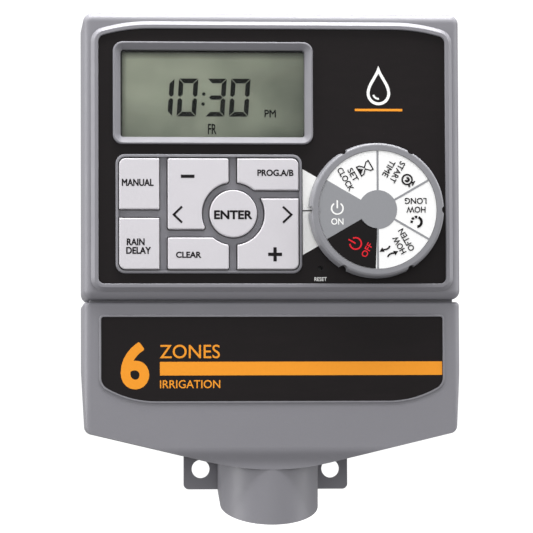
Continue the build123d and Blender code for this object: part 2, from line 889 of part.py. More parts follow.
with BuildPart() as dial_knob:
    # Half section, turned around the dial axis
    with BuildSketch(Plane(origin=(dial_centre[0], 0, dial_centre[1]), x_dir=(1, 0, 0), z_dir=(0, 0, 1))):
        with BuildLine():
            Polyline(
                (0, -knob_front_depth + insert_recess),
                (insert_r + insert_gap, -knob_front_depth + insert_recess),
                (insert_r + insert_gap, -knob_front_depth),
                (knob_front_r - knob_edge_r, -knob_front_depth),
            )
            TangentArc(
                (knob_front_r - knob_edge_r, -knob_front_depth),
                (knob_front_r, -knob_front_depth + knob_edge_r),
                tangent=(1, 0),
            )
            Polyline(
                (knob_front_r, -knob_front_depth + knob_edge_r),
                (knob_base_r, -knob_base_depth),
                (knob_base_r - knob_skirt, -knob_base_depth),
                (knob_base_r - knob_skirt, -knob_front_depth + insert_recess + knob_roof),
                (stem_r, -knob_front_depth + insert_recess + knob_roof),
                (stem_r, -stem_back_depth),
                (0, -stem_back_depth),
                (0, -knob_front_depth + insert_recess),
            )
        make_face()
    revolve(axis=Axis((dial_centre[0], 0, dial_centre[1]), (0, 1, 0)))

    # Index nib that keys the insert
    with BuildSketch(dial_plane(knob_front_depth - insert_recess)):
        with Locations((-insert_r - insert_gap, 0)):
            Circle(index_r)
    extrude(amount=insert_recess - fit_gap)

    # Finger notches down the skirt
    with BuildSketch(dial_plane(knob_base_depth - overcut)):
        with PolarLocations(knob_base_r + notch_offset, notch_count):
            Circle(notch_r)
    extrude(amount=knob_front_depth, mode=Mode.SUBTRACT)

    # Bore for the switch shaft, with its drive flat
    with BuildSketch(dial_plane(stem_back_depth - overcut)):
        Circle(shaft_r + shaft_gap)
        with Locations((shaft_flat + shaft_gap + shaft_r, 0)):
            Rectangle(2 * shaft_r, 3 * shaft_r, mode=Mode.SUBTRACT)
    extrude(amount=shaft_bore_depth - stem_back_depth + overcut, mode=Mode.SUBTRACT)

with BuildPart() as dial_insert:
    with BuildSketch(dial_plane(knob_front_depth - insert_recess + glue_gap)):
        Circle(insert_r)
        with Locations((-insert_r - insert_gap, 0)):
            Circle(index_r + index_gap, mode=Mode.SUBTRACT)
    extrude(amount=insert_thickness)

with BuildPart() as rotary_switch:
    with BuildSketch(dial_plane(board_front + seat_gap)):
        RectangleRounded(switch_size, switch_size, switch_corner_r)
    extrude(amount=switch_top_depth - board_front - seat_gap)
    with BuildSketch(dial_plane(switch_top_depth)):
        Circle(bushing_r)
    extrude(amount=bushing_depth - switch_top_depth)
    with BuildSketch(dial_plane(board_front + switch_floor)):
        Circle(rotor_r + rotor_gap)
    extrude(amount=rotor_pocket, mode=Mode.SUBTRACT)
    with BuildSketch(dial_plane(board_front + switch_floor)):
        Circle(shaft_r + shaft_gap)
    extrude(amount=bushing_depth - board_front, mode=Mode.SUBTRACT)

with BuildPart() as switch_shaft:
    with BuildSketch(dial_plane(rotor_depth)):
        Circle(shaft_r)
    extrude(amount=bushing_depth - rotor_depth)
    with BuildSketch(dial_plane(bushing_depth)):
        Circle(shaft_r)
        with Locations((shaft_flat + shaft_r, 0)):
            Rectangle(2 * shaft_r, 3 * shaft_r, mode=Mode.SUBTRACT)
    extrude(amount=shaft_tip_depth - bushing_depth)
    with BuildSketch(dial_plane(rotor_depth)):
        Circle(rotor_r)
    extrude(amount=rotor_thickness)

with BuildPart() as switch_wiper:
    with BuildSketch(dial_plane(rotor_depth - glue_gap - wiper_thickness)):
        Circle(wiper_pad_r)
        with Locations((-wiper_reach, 0)):
            Rectangle(*wiper_arm)
    extrude(amount=wiper_thickness)


# ---------------------------------------------------------------- circuit boards
with BuildPart() as main_board:
    with BuildSketch(front_plane(board_depth)):
        with Locations((0, middle(board_z))):
            RectangleRounded(2 * board_half_width, length(board_z), board_corner_r)
        with Locations(*board_posts):
            Circle(post_hole_r + post_clearance, mode=Mode.SUBTRACT)
    extrude(amount=board_thickness)

with BuildPart() as terminal_board:
    with BuildSketch(front_plane(terminal_board_depth)):
        with Locations((middle(terminal_board_x), middle(terminal_board_z))):
            RectangleRounded(length(terminal_board_x), length(terminal_board_z), board_corner_r)
        with Locations(*terminal_posts):
            Circle(post_hole_r + post_clearance, mode=Mode.SUBTRACT)
    extrude(amount=board_thickness)

terminal_board_front = terminal_board_depth + board_thickness + seat_gap
board_back = board_depth - seat_gap

with BuildPart() as reset_switch:
    with BuildSketch(front_plane(board_front + seat_gap)):
        with Locations(reset_centre):
            Rectangle(reset_body_size, reset_body_size)
    extrude(amount=reset_body_depth - board_front - seat_gap)
    with BuildSketch(front_plane(reset_body_depth - reset_plunger_root - reset_travel_gap)):
        with Locations(reset_centre):
            Circle(reset_plunger_r + reset_bore_gap)
    extrude(amount=reset_body_size, mode=Mode.SUBTRACT)

with BuildPart() as reset_plunger:
    with BuildSketch(front_plane(reset_body_depth - reset_plunger_root)):
        with Locations(reset_centre):
            Circle(reset_plunger_r)
    extrude(amount=reset_plunger_depth - reset_body_depth + reset_plunger_root)
    fillet(reset_plunger.faces().sort_by(Axis.Y)[0].edges(), reset_plunger_round)

# Parts on the back of the main board
with BuildPart() as microcontroller:
    with BuildSketch(front_plane(board_back - chip_thickness - chip_standoff)):
        with Locations(chip_place):
            Rectangle(chip_size, chip_size)
    extrude(amount=chip_thickness)
    with BuildSketch(front_plane(board_back - chip_lead_thickness)):
        with Locations(chip_place):
            with GridLocations(chip_lead_pitch, 1, chip_lead_count, 1):
                Rectangle(chip_lead_width, chip_size + chip_lead_reach)
            with GridLocations(1, chip_lead_pitch, 1, chip_lead_count):
                Rectangle(chip_size + chip_lead_reach, chip_lead_width)
    extrude(amount=chip_lead_thickness)

with BuildPart() as crystal:
    with BuildSketch(front_plane(board_back - crystal_height)):
        with Locations(crystal_place):
            SlotOverall(*crystal_size)
    extrude(amount=crystal_height)
    fillet(crystal.faces().sort_by(Axis.Y)[-1].edges(), can_round)

with BuildPart() as capacitors:
    with BuildSketch(front_plane(board_back - capacitor_height)):
        with Locations(*capacitor_places):
            Circle(capacitor_r)
    extrude(amount=capacitor_height)
    fillet(capacitors.faces().group_by(Axis.Y)[-1].edges(), can_round)


# ---------------------------------------------------------------- terminals
way_x = [block_centre_x + (n - (way_count - 1) / 2) * way_pitch for n in range(way_count)]
screw_foot_depth = wire_entry_depth + wire_entry / 2 + fit_gap

with BuildPart() as terminal_block:
    with BuildSketch(front_plane(terminal_board_front)):
        with Locations((block_centre_x, middle(block_z))):
            Rectangle(way_count * way_pitch, length(block_z))
    extrude(amount=block_front - terminal_board_front)
    chamfer(terminal_block.faces().sort_by(Axis.Y)[0].edges().sort_by(Axis.Z)[0], block_chamfer)
    with BuildSketch(front_plane(wire_entry_depth)):
        with Locations(*[(x, terminal_screw_z) for x in way_x]):
            Circle(terminal_screw_r + terminal_screw_gap)
    extrude(amount=block_front, mode=Mode.SUBTRACT)
    with BuildSketch(Plane.XY.offset(block_z[0])):
        with Locations(*[(x, -wire_entry_depth) for x in way_x]):
            Rectangle(wire_entry, wire_entry)
    extrude(amount=length(block_z) - block_chamfer, mode=Mode.SUBTRACT)

with BuildPart() as terminal_screws:
    with BuildSketch(front_plane(screw_foot_depth)):
        with Locations(*[(x, terminal_screw_z) for x in way_x]):
            Circle(terminal_screw_r)
    extrude(amount=terminal_screw_length)
    with BuildSketch(front_plane(screw_foot_depth + terminal_screw_length - terminal_slot_depth)):
        with Locations(*[(x, terminal_screw_z) for x in way_x]):
            Rectangle(*terminal_slot, rotation=terminal_slot_angle)
    extrude(amount=terminal_screw_length, mode=Mode.SUBTRACT)

with BuildPart() as wire_clamps:
    clamp_size = wire_entry - 2 * clamp_gap
    with BuildSketch(Plane.XY.offset(terminal_screw_z - clamp_length / 2)):
        with Locations(*[(x, -wire_entry_depth) for x in way_x]):
            Rectangle(clamp_size, clamp_size)
            Rectangle(clamp_size - 2 * clamp_wall, clamp_size - 2 * clamp_wall, mode=Mode.SUBTRACT)
    extrude(amount=clamp_length)

with BuildPart() as triacs:
    with BuildSketch(front_plane(terminal_board_front + triac_standoff)):
        with Locations(triac_place):
            with GridLocations(triac_pitch, 1, triac_count, 1):
                Circle(triac_r)
                with Locations((0, -triac_flat - triac_r)):
                    Rectangle(3 * triac_r, 2 * triac_r, mode=Mode.SUBTRACT)
    extrude(amount=triac_height)
    with BuildSketch(front_plane(terminal_board_front)):
        with Locations(triac_place):
            with GridLocations(triac_pitch, 1, triac_count, 1):
                with GridLocations(triac_lead_pitch, 1, 3, 1):
                    Rectangle(triac_lead, triac_lead)
    extrude(amount=triac_standoff + triac_lead)

with BuildPart() as varistor:
    with BuildSketch(Plane.YZ.offset(varistor_x[0])):
        with Locations((-terminal_board_front - varistor_standoff, varistor_z)):
            Circle(varistor_r)
    extrude(amount=length(varistor_x))
    fillet(varistor.edges().filter_by(GeomType.CIRCLE), varistor_round)
    with BuildSketch(front_plane(terminal_board_front)):
        with Locations((middle(varistor_x), varistor_z)):
            with GridLocations(1, varistor_lead_pitch, 1, 2):
                Rectangle(varistor_lead, varistor_lead)
    extrude(amount=varistor_standoff - varistor_lead)


# ---------------------------------------------------------------- battery
battery_middle_depth = battery_depth + battery_thickness / 2

with BuildPart() as battery:
    with BuildSketch(Plane.YZ.offset(battery_x[0])):
        with Locations((-battery_middle_depth, middle(battery_z))):
            RectangleRounded(battery_thickness, length(battery_z), battery_corner_r)
    extrude(amount=length(battery_x))
    fillet(battery.faces().filter_by(Plane.YZ).edges(), battery_edge_round)
    with BuildSketch(Plane.YZ.offset(battery_x[0])):
        with Locations((-battery_middle_depth, middle(battery_z) + stud_pitch / 2)):
            Circle(stud_r)
        with Locations((-battery_middle_depth, middle(battery_z) - stud_pitch / 2)):
            RegularPolygon(socket_r, 6)
    extrude(amount=-stud_length)

with BuildPart() as battery_clip:
    with BuildSketch(Plane.YZ.offset(battery_x[0] - clip_gap)):
        with Locations((-battery_middle_depth, middle(battery_z))):
            RectangleRounded(
                battery_thickness - 2 * clip_margins[0],
                length(battery_z) - 2 * clip_margins[1],
                battery_corner_r,
            )
    extrude(amount=-stud_length - clip_thickness)
    with BuildSketch(Plane.YZ.offset(battery_x[0])):
        with Locations((-battery_middle_depth, middle(battery_z) + stud_pitch / 2)):
            Circle(stud_r + clip_gap)
        with Locations((-battery_middle_depth, middle(battery_z) - stud_pitch / 2)):
            Circle(socket_r + clip_gap)
    extrude(amount=-stud_length - clip_gap, mode=Mode.SUBTRACT)


# ---------------------------------------------------------------- cables
with BuildPart() as ribbon_headers:
    for depth, z in ((board_back - header_height, header_z[0]), (terminal_board_front, header_z[1])):
        with BuildSketch(front_plane(depth)):
            with Locations((middle(ribbon_x), z)):
                Rectangle(length(ribbon_x) + 2 * header_margin, header_width)
        extrude(amount=header_height)

with BuildPart() as ribbon_cable:
    upper_end = (-board_back + header_height + seat_gap, header_z[0])
    lower_end = (-terminal_board_front - header_height - seat_gap, header_z[1])
    floor_z = housing_bottom + wall / 2
    with BuildSketch(Plane.YZ.offset(ribbon_x[0])):
        with BuildLine():
            Spline(
                upper_end,
                (-ribbon_bend_depth, (upper_end[1] + floor_z) / 2 + ribbon_thickness),
                (-ribbon_bend_depth, floor_z),
                (-ribbon_low_bend_depth, -header_width + ribbon_thickness / 2),
                lower_end,
                tangents=((1, 0), (1, 0)),
            )
        trace(line_width=ribbon_thickness)
    extrude(amount=length(ribbon_x))


def lead_path(start_depth, shift):
    """Path of one battery lead: from the clip, through the floor notch, to the main board."""
    clip_x = battery_x[0] - lead_clip_inset
    bends = [(clip_x + shift + x, y, z) for x, y, z in (lead_below_floor, lead_above_floor, lead_rise)]
    return (
        (clip_x, -start_depth, battery_z[1] - clip_margins[1] + seat_gap),
        *bends,
        (clip_x + shift + lead_rise[0], -board_back, lead_end_z),
    )


with BuildPart() as battery_leads:
    for start_depth, shift in lead_starts:
        with BuildLine() as lead:
            Spline(*lead_path(start_depth, shift), tangents=((0, 0, 1), (0, -1, 0)))
        with BuildSketch(Plane(origin=lead.line @ 0, z_dir=lead.line % 0)):
            Circle(lead_r)
        sweep(path=lead.line)


# ---------------------------------------------------------------- fasteners
with BuildPart() as housing_screws:
    head_depth = screw_seat_depth - screw_head_height
    with BuildSketch(front_plane(head_depth)):
        with Locations(*screw_places):
            Circle(screw_head_r)
    extrude(amount=screw_head_height - seat_gap)
    fillet(housing_screws.faces().group_by(Axis.Y)[-1].edges(), screw_head_round)
    with BuildSketch(front_plane(head_depth)):
        with Locations(*screw_places):
            Rectangle(*screw_slot)
            Rectangle(*screw_slot, rotation=90)
    extrude(amount=screw_slot_depth, mode=Mode.SUBTRACT)
    with BuildSketch(front_plane(head_depth + screw_slot_depth)):
        with Locations(*screw_places):
            Circle(screw_shank_r)
    extrude(amount=screw_tip_depth - head_depth - screw_slot_depth)


def make_board_screws(places, seat_depth, tip_depth):
    """Pan head screws; the head sits at seat_depth and the tip reaches tip_depth."""
    forward = 1 if tip_depth > seat_depth else -1
    top_depth = seat_depth - forward * board_screw_head_height
    with BuildPart() as screws:
        with BuildSketch(front_plane(seat_depth)):
            with Locations(*places):
                Circle(board_screw_head_r)
        extrude(amount=-forward * board_screw_head_height)
        with BuildSketch(front_plane(top_depth)):
            with Locations(*places):
                Rectangle(*board_screw_slot)
                Rectangle(*board_screw_slot, rotation=90)
        extrude(amount=forward * board_screw_slot_depth, mode=Mode.SUBTRACT)
        with BuildSketch(front_plane(seat_depth)):
            with Locations(*places):
                Circle(post_hole_r - seat_gap)
        extrude(amount=tip_depth - seat_depth)
    return screws


main_board_screws = make_board_screws(board_posts, board_back, board_front + board_screw_bite[0])
terminal_board_screws = make_board_screws(
    terminal_posts, terminal_board_front, back_thickness + board_screw_bite[1]
)


# ---------------------------------------------------------------- export
pieces = {
    "front_housing": front_housing,
    "rear_housing": rear_housing,
    "terminal_cover": terminal_cover,
    "front_overlay": front_overlay,
    "cover_label": cover_label,
    "lcd_window": lcd_window,
    "lcd_panel": lcd_panel,
    "lcd_holder": lcd_holder,
    "contact_strips": contact_strips,
    "keypad_mat": keypad_mat,
    "carbon_pills": carbon_pills,
    "dial_knob": dial_knob,
    "dial_insert": dial_insert,
    "rotary_switch": rotary_switch,
    "switch_shaft": switch_shaft,
    "switch_wiper": switch_wiper,
    "reset_switch": reset_switch,
    "reset_plunger": reset_plunger,
    "main_board": main_board,
    "microcontroller": microcontroller,
    "crystal": crystal,
    "capacitors": capacitors,
    "terminal_board": terminal_board,
    "terminal_block": terminal_block,
    "terminal_screws": terminal_screws,
    "wire_clamps": wire_clamps,
    "triacs": triacs,
    "varistor": varistor,
    "battery": battery,
    "battery_clip": battery_clip,
    "battery_leads": battery_leads,
    "ribbon_headers": ribbon_headers,
    "ribbon_cable": ribbon_cable,
    "housing_screws": housing_screws,
    "main_board_screws": main_board_screws,
    "terminal_board_screws": terminal_board_screws,
    **keys,
}

os.makedirs("parts", exist_ok=True)
for name, piece in pieces.items():
    piece.part.label = name
    export_step(piece.part, f"parts/{name}.step")
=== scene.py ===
import json
import math

import bmesh
import bpy
import numpy
from mathutils import Matrix, Vector
from mathutils.geometry import delaunay_2d_cdt


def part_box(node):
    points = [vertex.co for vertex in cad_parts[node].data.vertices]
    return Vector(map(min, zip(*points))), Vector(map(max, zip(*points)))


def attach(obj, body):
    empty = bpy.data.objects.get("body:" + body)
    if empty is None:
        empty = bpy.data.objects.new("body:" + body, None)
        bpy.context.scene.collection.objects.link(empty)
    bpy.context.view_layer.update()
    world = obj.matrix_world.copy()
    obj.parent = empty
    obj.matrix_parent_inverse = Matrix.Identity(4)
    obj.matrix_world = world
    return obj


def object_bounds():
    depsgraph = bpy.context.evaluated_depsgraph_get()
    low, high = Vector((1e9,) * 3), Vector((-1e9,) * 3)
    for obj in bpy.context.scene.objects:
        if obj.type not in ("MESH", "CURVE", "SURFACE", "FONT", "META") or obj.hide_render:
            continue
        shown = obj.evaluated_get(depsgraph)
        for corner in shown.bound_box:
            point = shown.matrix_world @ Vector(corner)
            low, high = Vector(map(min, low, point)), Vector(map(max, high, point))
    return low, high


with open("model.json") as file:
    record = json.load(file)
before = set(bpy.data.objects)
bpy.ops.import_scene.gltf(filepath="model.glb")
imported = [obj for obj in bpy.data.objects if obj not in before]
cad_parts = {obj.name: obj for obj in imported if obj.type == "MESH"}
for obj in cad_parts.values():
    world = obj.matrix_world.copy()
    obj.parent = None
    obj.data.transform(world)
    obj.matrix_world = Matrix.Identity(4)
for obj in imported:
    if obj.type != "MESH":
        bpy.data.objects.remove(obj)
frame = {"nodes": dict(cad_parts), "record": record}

# Looks of a wall-mounted irrigation controller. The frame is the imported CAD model: metres,
# +Z up, +X right, the front faces -Y and the wall is Y = 0. Lengths below are in millimetres
# unless a name ends in _m. Printed artwork is laid out in front view as (x, z) points.
MM = 0.001
cad_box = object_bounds()


def span_mm(node):
    """Lowest and highest corner of a CAD node in millimetres."""
    low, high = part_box(node)
    return low / MM, high / MM


def front_depth(node):
    """Distance of a node's front from the wall, in millimetres."""
    return -span_mm(node)[0].y


def middle(node):
    """Front-view middle of a node, as (x, z)."""
    low, high = span_mm(node)
    return (low.x + high.x) / 2, (low.z + high.z) / 2


# ------------------------------------------------------------------ shader building blocks
def srgb(red, green, blue):
    """Linear colour of an 8-bit sRGB colour."""
    def linear(value):
        value /= 255
        return value / 12.92 if value <= 0.04045 else ((value + 0.055) / 1.055) ** 2.4
    return linear(red), linear(green), linear(blue), 1.0


def shade(colour, factor):
    """The colour made lighter or darker."""
    return tuple(min(1.0, c * factor) for c in colour[:3]) + (1.0,)


class Shader:
    """A principled material with helpers for procedural detail in object space."""

    def __init__(self, name, roughness=0.45, specular=0.5):
        self.material = bpy.data.materials.new(name)
        self.material.use_nodes = True
        self.nodes = self.material.node_tree.nodes
        self.links = self.material.node_tree.links
        self.nodes.clear()
        self.output = self.nodes.new("ShaderNodeOutputMaterial")
        self.bsdf = self.nodes.new("ShaderNodeBsdfPrincipled")
        self.links.new(self.bsdf.outputs["BSDF"], self.output.inputs["Surface"])
        self.bsdf.inputs["Roughness"].default_value = roughness
        self.bsdf.inputs["Specular IOR Level"].default_value = specular
        self.place = self.nodes.new("ShaderNodeTexCoord").outputs["Object"]
        self.heights = []

    def feed(self, socket, value):
        """Link an output, or set a constant."""
        if isinstance(value, bpy.types.NodeSocket):
            self.links.new(value, socket)
        else:
            socket.default_value = value

    def stretched(self, factors):
        """Object coordinates scaled along each axis."""
        mapping = self.nodes.new("ShaderNodeMapping")
        mapping.inputs["Scale"].default_value = factors
        self.links.new(self.place, mapping.inputs["Vector"])
        return mapping.outputs["Vector"]

    def noise(self, grain, detail=2.0, rough=0.5, place=None):
        """Noise from 0 to 1 whose blobs are about grain millimetres wide."""
        node = self.nodes.new("ShaderNodeTexNoise")
        node.inputs["Scale"].default_value = 1 / (grain * MM)
        node.inputs["Detail"].default_value = detail
        node.inputs["Roughness"].default_value = rough
        self.links.new(place or self.place, node.inputs["Vector"])
        return node.outputs["Fac"]

    def cells(self, size, feature="F1", randomness=1.0):
        """Distance to the nearest of points about size millimetres apart."""
        node = self.nodes.new("ShaderNodeTexVoronoi")
        node.feature = feature
        node.inputs["Scale"].default_value = 1 / (size * MM)
        node.inputs["Randomness"].default_value = randomness
        self.links.new(self.place, node.inputs["Vector"])
        return node.outputs["Distance"]

    def axis(self, name):
        """One object coordinate, in metres."""
        node = self.nodes.new("ShaderNodeSeparateXYZ")
        self.links.new(self.place, node.inputs[0])
        return node.outputs[name]

    def spread(self, value, low, high, to_low=0.0, to_high=1.0):
        """Map a value from one range to another, clamped."""
        node = self.nodes.new("ShaderNodeMapRange")
        self.feed(node.inputs["Value"], value)
        for key, number in zip(("From Min", "From Max", "To Min", "To Max"), (low, high, to_low, to_high)):
            node.inputs[key].default_value = number
        return node.outputs["Result"]

    def maths(self, operation, first, second=0.0):
        """One arithmetic step."""
        node = self.nodes.new("ShaderNodeMath")
        node.operation = operation
        self.feed(node.inputs[0], first)
        self.feed(node.inputs[1], second)
        return node.outputs[0]

    def mix(self, factor, first, second, blend="MIX"):
        """Mix two colours."""
        node = self.nodes.new("ShaderNodeMix")
        node.data_type = "RGBA"
        node.blend_type = blend
        self.feed(node.inputs["Factor"], factor)
        self.feed(node.inputs["A"], first)
        self.feed(node.inputs["B"], second)
        return node.outputs["Result"]

    def colour(self, value):
        self.feed(self.bsdf.inputs["Base Color"], value)

    def roughness(self, value):
        self.feed(self.bsdf.inputs["Roughness"], value)

    def raise_by(self, height, depth):
        """Stack one more bump, depth millimetres deep."""
        self.heights.append((height, depth))

    def done(self):
        """Wire the stacked bumps and hand over the material."""
        normal = None
        for height, depth in self.heights:
            node = self.nodes.new("ShaderNodeBump")
            node.inputs["Distance"].default_value = depth * MM
            self.links.new(height, node.inputs["Height"])
            if normal:
                self.links.new(normal, node.inputs["Normal"])
            normal = node.outputs["Normal"]
        if normal:
            self.links.new(normal, self.bsdf.inputs["Normal"])
        return self.material


def sheen_edges(shader, colour, radius, lift):
    """Colour made lighter along convex edges as painted highlight and edge wear, found by comparing bevelled
    and true normals.
    """
    bevel = shader.nodes.new("ShaderNodeBevel")
    bevel.samples = 4
    bevel.inputs["Radius"].default_value = radius * MM
    geometry = shader.nodes.new("ShaderNodeNewGeometry")
    product = shader.nodes.new("ShaderNodeVectorMath")
    product.operation = "DOT_PRODUCT"
    shader.links.new(bevel.outputs["Normal"], product.inputs[0])
    shader.links.new(geometry.outputs["Normal"], product.inputs[1])
    edge = shader.spread(product.outputs["Value"], 0.99, 0.86)
    wear_and_highlight = shader.maths("MULTIPLY", edge, shader.spread(shader.noise(2.5, 4), 0.35, 0.65))
    return shader.mix(shader.maths("MULTIPLY", wear_and_highlight, lift), colour, (1, 1, 1, 1))


def painted_corner_shade(shader, colour, reach, shade_colour, strength):
    """Painted shade: colour darkened towards a shaded copy of itself where the surface is hemmed in by nearby
    parts.
    """
    occlusion = shader.nodes.new("ShaderNodeAmbientOcclusion")
    occlusion.samples = 4
    occlusion.inputs["Distance"].default_value = reach * MM
    hidden = shader.spread(occlusion.outputs["AO"], 0.85, 0.25)
    return shader.mix(shader.maths("MULTIPLY", hidden, strength), colour, shade_colour)


# ------------------------------------------------------------------ materials
def moulded_plastic(name, colour, roughness=0.45, grain=0.45, specular=0.45, wear_and_highlight=True):
    """Spark-textured moulding: fine grain, faint flow clouds, uneven gloss, painted shade in hollows, and
    edges made lighter as painted highlight and wear.
    """
    shader = Shader(name, roughness, specular)
    clouds = shader.noise(22, 3, 0.55)
    tone = shader.mix(clouds, shade(colour, 0.955), shade(colour, 1.045))
    speckle = shader.spread(shader.noise(grain * 0.8, 2), 0.3, 0.7)
    tone = shader.mix(speckle, tone, shade(colour, 1.03))
    # Painted shade: hollows, creases and gaps between parts are darkened.
    tone = painted_corner_shade(shader, tone, 1.6, shade(colour, 0.42), 0.55)
    # Painted highlight and wear: convex edges are made lighter.
    if wear_and_highlight:
        tone = sheen_edges(shader, tone, 0.35, 0.10)
    shader.colour(tone)
    shader.roughness(shader.spread(shader.noise(7, 4), 0.3, 0.7, roughness - 0.05, roughness + 0.07))
    shader.raise_by(shader.noise(grain, 3, 0.6), 0.022)
    shader.raise_by(shader.noise(9, 2), 0.05)
    return shader.done()


def printed_film(name, colour):
    """Back-printed polycarbonate film: velvet micro-texture, faint rub marks and specks."""
    shader = Shader(name, 0.42, 0.14)
    rubbed = shader.noise(14, 5, 0.65, shader.stretched((1, 1, 3.5)))
    specks = shader.spread(shader.cells(2.6), 0.035, 0.015)
    tone = shader.mix(shader.spread(rubbed, 0.4, 0.75), colour, shade(colour, 1.35))
    shader.colour(shader.mix(shader.maths("MULTIPLY", specks, 0.25), tone, srgb(120, 118, 118)))
    shader.roughness(shader.spread(rubbed, 0.3, 0.7, 0.36, 0.5))
    shader.raise_by(shader.noise(0.22, 2), 0.008)
    return shader.done()


def ink(name, colour, strength=0.03):
    """Screen-printed ink: slightly uneven cover with a fine mesh pattern."""
    shader = Shader(name, 0.5, 0.15)
    cover = shader.noise(0.9, 4, 0.6)
    mesh = shader.spread(shader.cells(0.18, randomness=0.15), 0.2, 0.6)
    tone = shader.mix(shader.spread(cover, 0.3, 0.7), shade(colour, 1 - strength), colour)
    shader.colour(shader.mix(shader.maths("MULTIPLY", mesh, 0.05), tone, shade(colour, 0.8)))
    shader.raise_by(cover, 0.006)
    return shader.done()


def display_glass(name):
    """Reflective LCD: grey green, with a fine pixel weave; painted light makes it brighter at the upper left
    and painted shadow darkens the top and left edges.
    """
    low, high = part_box("lcd_panel")
    shader = Shader(name, 0.32, 0.25)
    # Painted light: the panel brightens towards the upper left, as the lamps fall on it.
    across = shader.spread(shader.axis("X"), low.x, high.x)
    up = shader.spread(shader.axis("Z"), low.z, high.z)
    rise = shader.maths("MULTIPLY", up, 0.62)
    fall = shader.maths("MULTIPLY", across, 0.42)
    brightness = shader.maths("SUBTRACT", rise, fall)
    haze = shader.spread(shader.noise(16, 2, 0.4), 0.3, 0.7, -0.14, 0.14)
    brightness = shader.spread(shader.maths("ADD", brightness, haze), -0.35, 0.6)
    tone = shader.mix(brightness, srgb(90, 94, 85), srgb(197, 200, 182))
    # Painted shadow: soft dark bands and thin dark lines along the top and left edges, under the bezel.
    top_shadow = shader.spread(shader.axis("Z"), high.z - 4.4 * MM, high.z - 1.6 * MM)
    tone = shader.mix(shader.maths("MULTIPLY", top_shadow, 0.85), tone, srgb(48, 50, 45))
    left_shadow = shader.spread(shader.axis("X"), low.x + 3.6 * MM, low.x + 1.6 * MM)
    tone = shader.mix(shader.maths("MULTIPLY", left_shadow, 0.7), tone, srgb(66, 68, 60))
    top_shadow_line = shader.spread(shader.axis("Z"), high.z - 1.9 * MM, high.z - 1.5 * MM)
    left_shadow_line = shader.spread(shader.axis("X"), low.x + 1.9 * MM, low.x + 1.5 * MM)
    tone = shader.mix(shader.maths("MAXIMUM", top_shadow_line, left_shadow_line), tone, srgb(24, 24, 22))
    weave = shader.nodes.new("ShaderNodeTexBrick")
    weave.inputs["Scale"].default_value = 1 / (0.9 * MM)
    weave.inputs["Mortar Size"].default_value = 0.03
    weave.inputs["Color1"].default_value = (1, 1, 1, 1)
    weave.inputs["Color2"].default_value = (0.985, 0.985, 0.985, 1)
    weave.inputs["Mortar"].default_value = (0.94, 0.94, 0.94, 1)
    flipped = shader.nodes.new("ShaderNodeMapping")
    flipped.inputs["Rotation"].default_value = (math.pi / 2, 0, 0)
    shader.links.new(shader.place, flipped.inputs["Vector"])
    shader.links.new(flipped.outputs["Vector"], weave.inputs["Vector"])
    shader.colour(shader.mix(0.6, tone, weave.outputs["Color"], "MULTIPLY"))
    shader.raise_by(shader.noise(0.5, 2), 0.004)
    return shader.done()


def clear_window(name):
    """Thin clear sheet: it lets light straight through and adds a faint, smudged reflection."""
    shader = Shader(name)
    shader.nodes.remove(shader.bsdf)
    through = shader.nodes.new("ShaderNodeBsdfTransparent")
    tint = shader.mix(shader.noise(12, 3), (0.95, 0.97, 0.95, 1), (0.985, 0.99, 0.98, 1))
    shader.links.new(tint, through.inputs["Color"])
    mirror = shader.nodes.new("ShaderNodeBsdfGlossy")
    smudge = shader.spread(shader.noise(6, 5, 0.65), 0.4, 0.75, 0.04, 0.22)
    shader.links.new(smudge, mirror.inputs["Roughness"])
    rim = shader.nodes.new("ShaderNodeFresnel")
    rim.inputs["IOR"].default_value = 1.45
    blend = shader.nodes.new("ShaderNodeMixShader")
    shader.links.new(shader.maths("MULTIPLY", rim.outputs["Fac"], 0.1), blend.inputs["Fac"])
    shader.links.new(through.outputs["BSDF"], blend.inputs[1])
    shader.links.new(mirror.outputs["BSDF"], blend.inputs[2])
    shader.links.new(blend.outputs["Shader"], shader.output.inputs["Surface"])
    return shader.material


def circuit_board(name):
    """Green solder mask over copper tracks, with tinned pads in a loose grid."""
    shader = Shader(name, 0.32, 0.5)
    tracks = shader.nodes.new("ShaderNodeTexBrick")
    tracks.inputs["Scale"].default_value = 1 / (11 * MM)
    tracks.inputs["Mortar Size"].default_value = 0.035
    tracks.inputs["Color1"].default_value = (0, 0, 0, 1)
    tracks.inputs["Color2"].default_value = (0.25, 0.25, 0.25, 1)
    tracks.inputs["Mortar"].default_value = (1, 1, 1, 1)
    turned = shader.nodes.new("ShaderNodeMapping")
    turned.inputs["Rotation"].default_value = (math.pi / 2, 0, 0)
    shader.links.new(shader.place, turned.inputs["Vector"])
    shader.links.new(turned.outputs["Vector"], tracks.inputs["Vector"])
    mask = shader.mix(tracks.outputs["Fac"], srgb(14, 74, 40), srgb(36, 112, 62))
    mask = shader.mix(shader.spread(shader.noise(3, 3), 0.35, 0.7), mask, srgb(20, 84, 48))
    pads = shader.spread(shader.cells(3.4, randomness=0.35), 0.2, 0.17)
    shader.colour(shader.mix(pads, mask, srgb(196, 196, 190)))
    shader.feed(shader.bsdf.inputs["Metallic"], shader.maths("MULTIPLY", pads, 0.9))
    shader.raise_by(tracks.outputs["Fac"], 0.03)
    return shader.done()


def metal(name, colour, roughness=0.3, streak=(1, 1, 8)):
    """Plated metal: turned or drawn streaks, a little tarnish."""
    shader = Shader(name, roughness, 0.5)
    shader.bsdf.inputs["Metallic"].default_value = 1.0
    lines = shader.noise(0.35, 3, 0.6, shader.stretched(streak))
    tarnish = shader.spread(shader.noise(2.2, 4), 0.45, 0.75)
    tone = shader.mix(lines, shade(colour, 0.86), shade(colour, 1.08))
    shader.colour(shader.mix(shader.maths("MULTIPLY", tarnish, 0.35), tone, shade(colour, 0.6)))
    shader.roughness(shader.spread(lines, 0.3, 0.7, roughness - 0.08, roughness + 0.1))
    shader.raise_by(lines, 0.01)
    return shader.done()


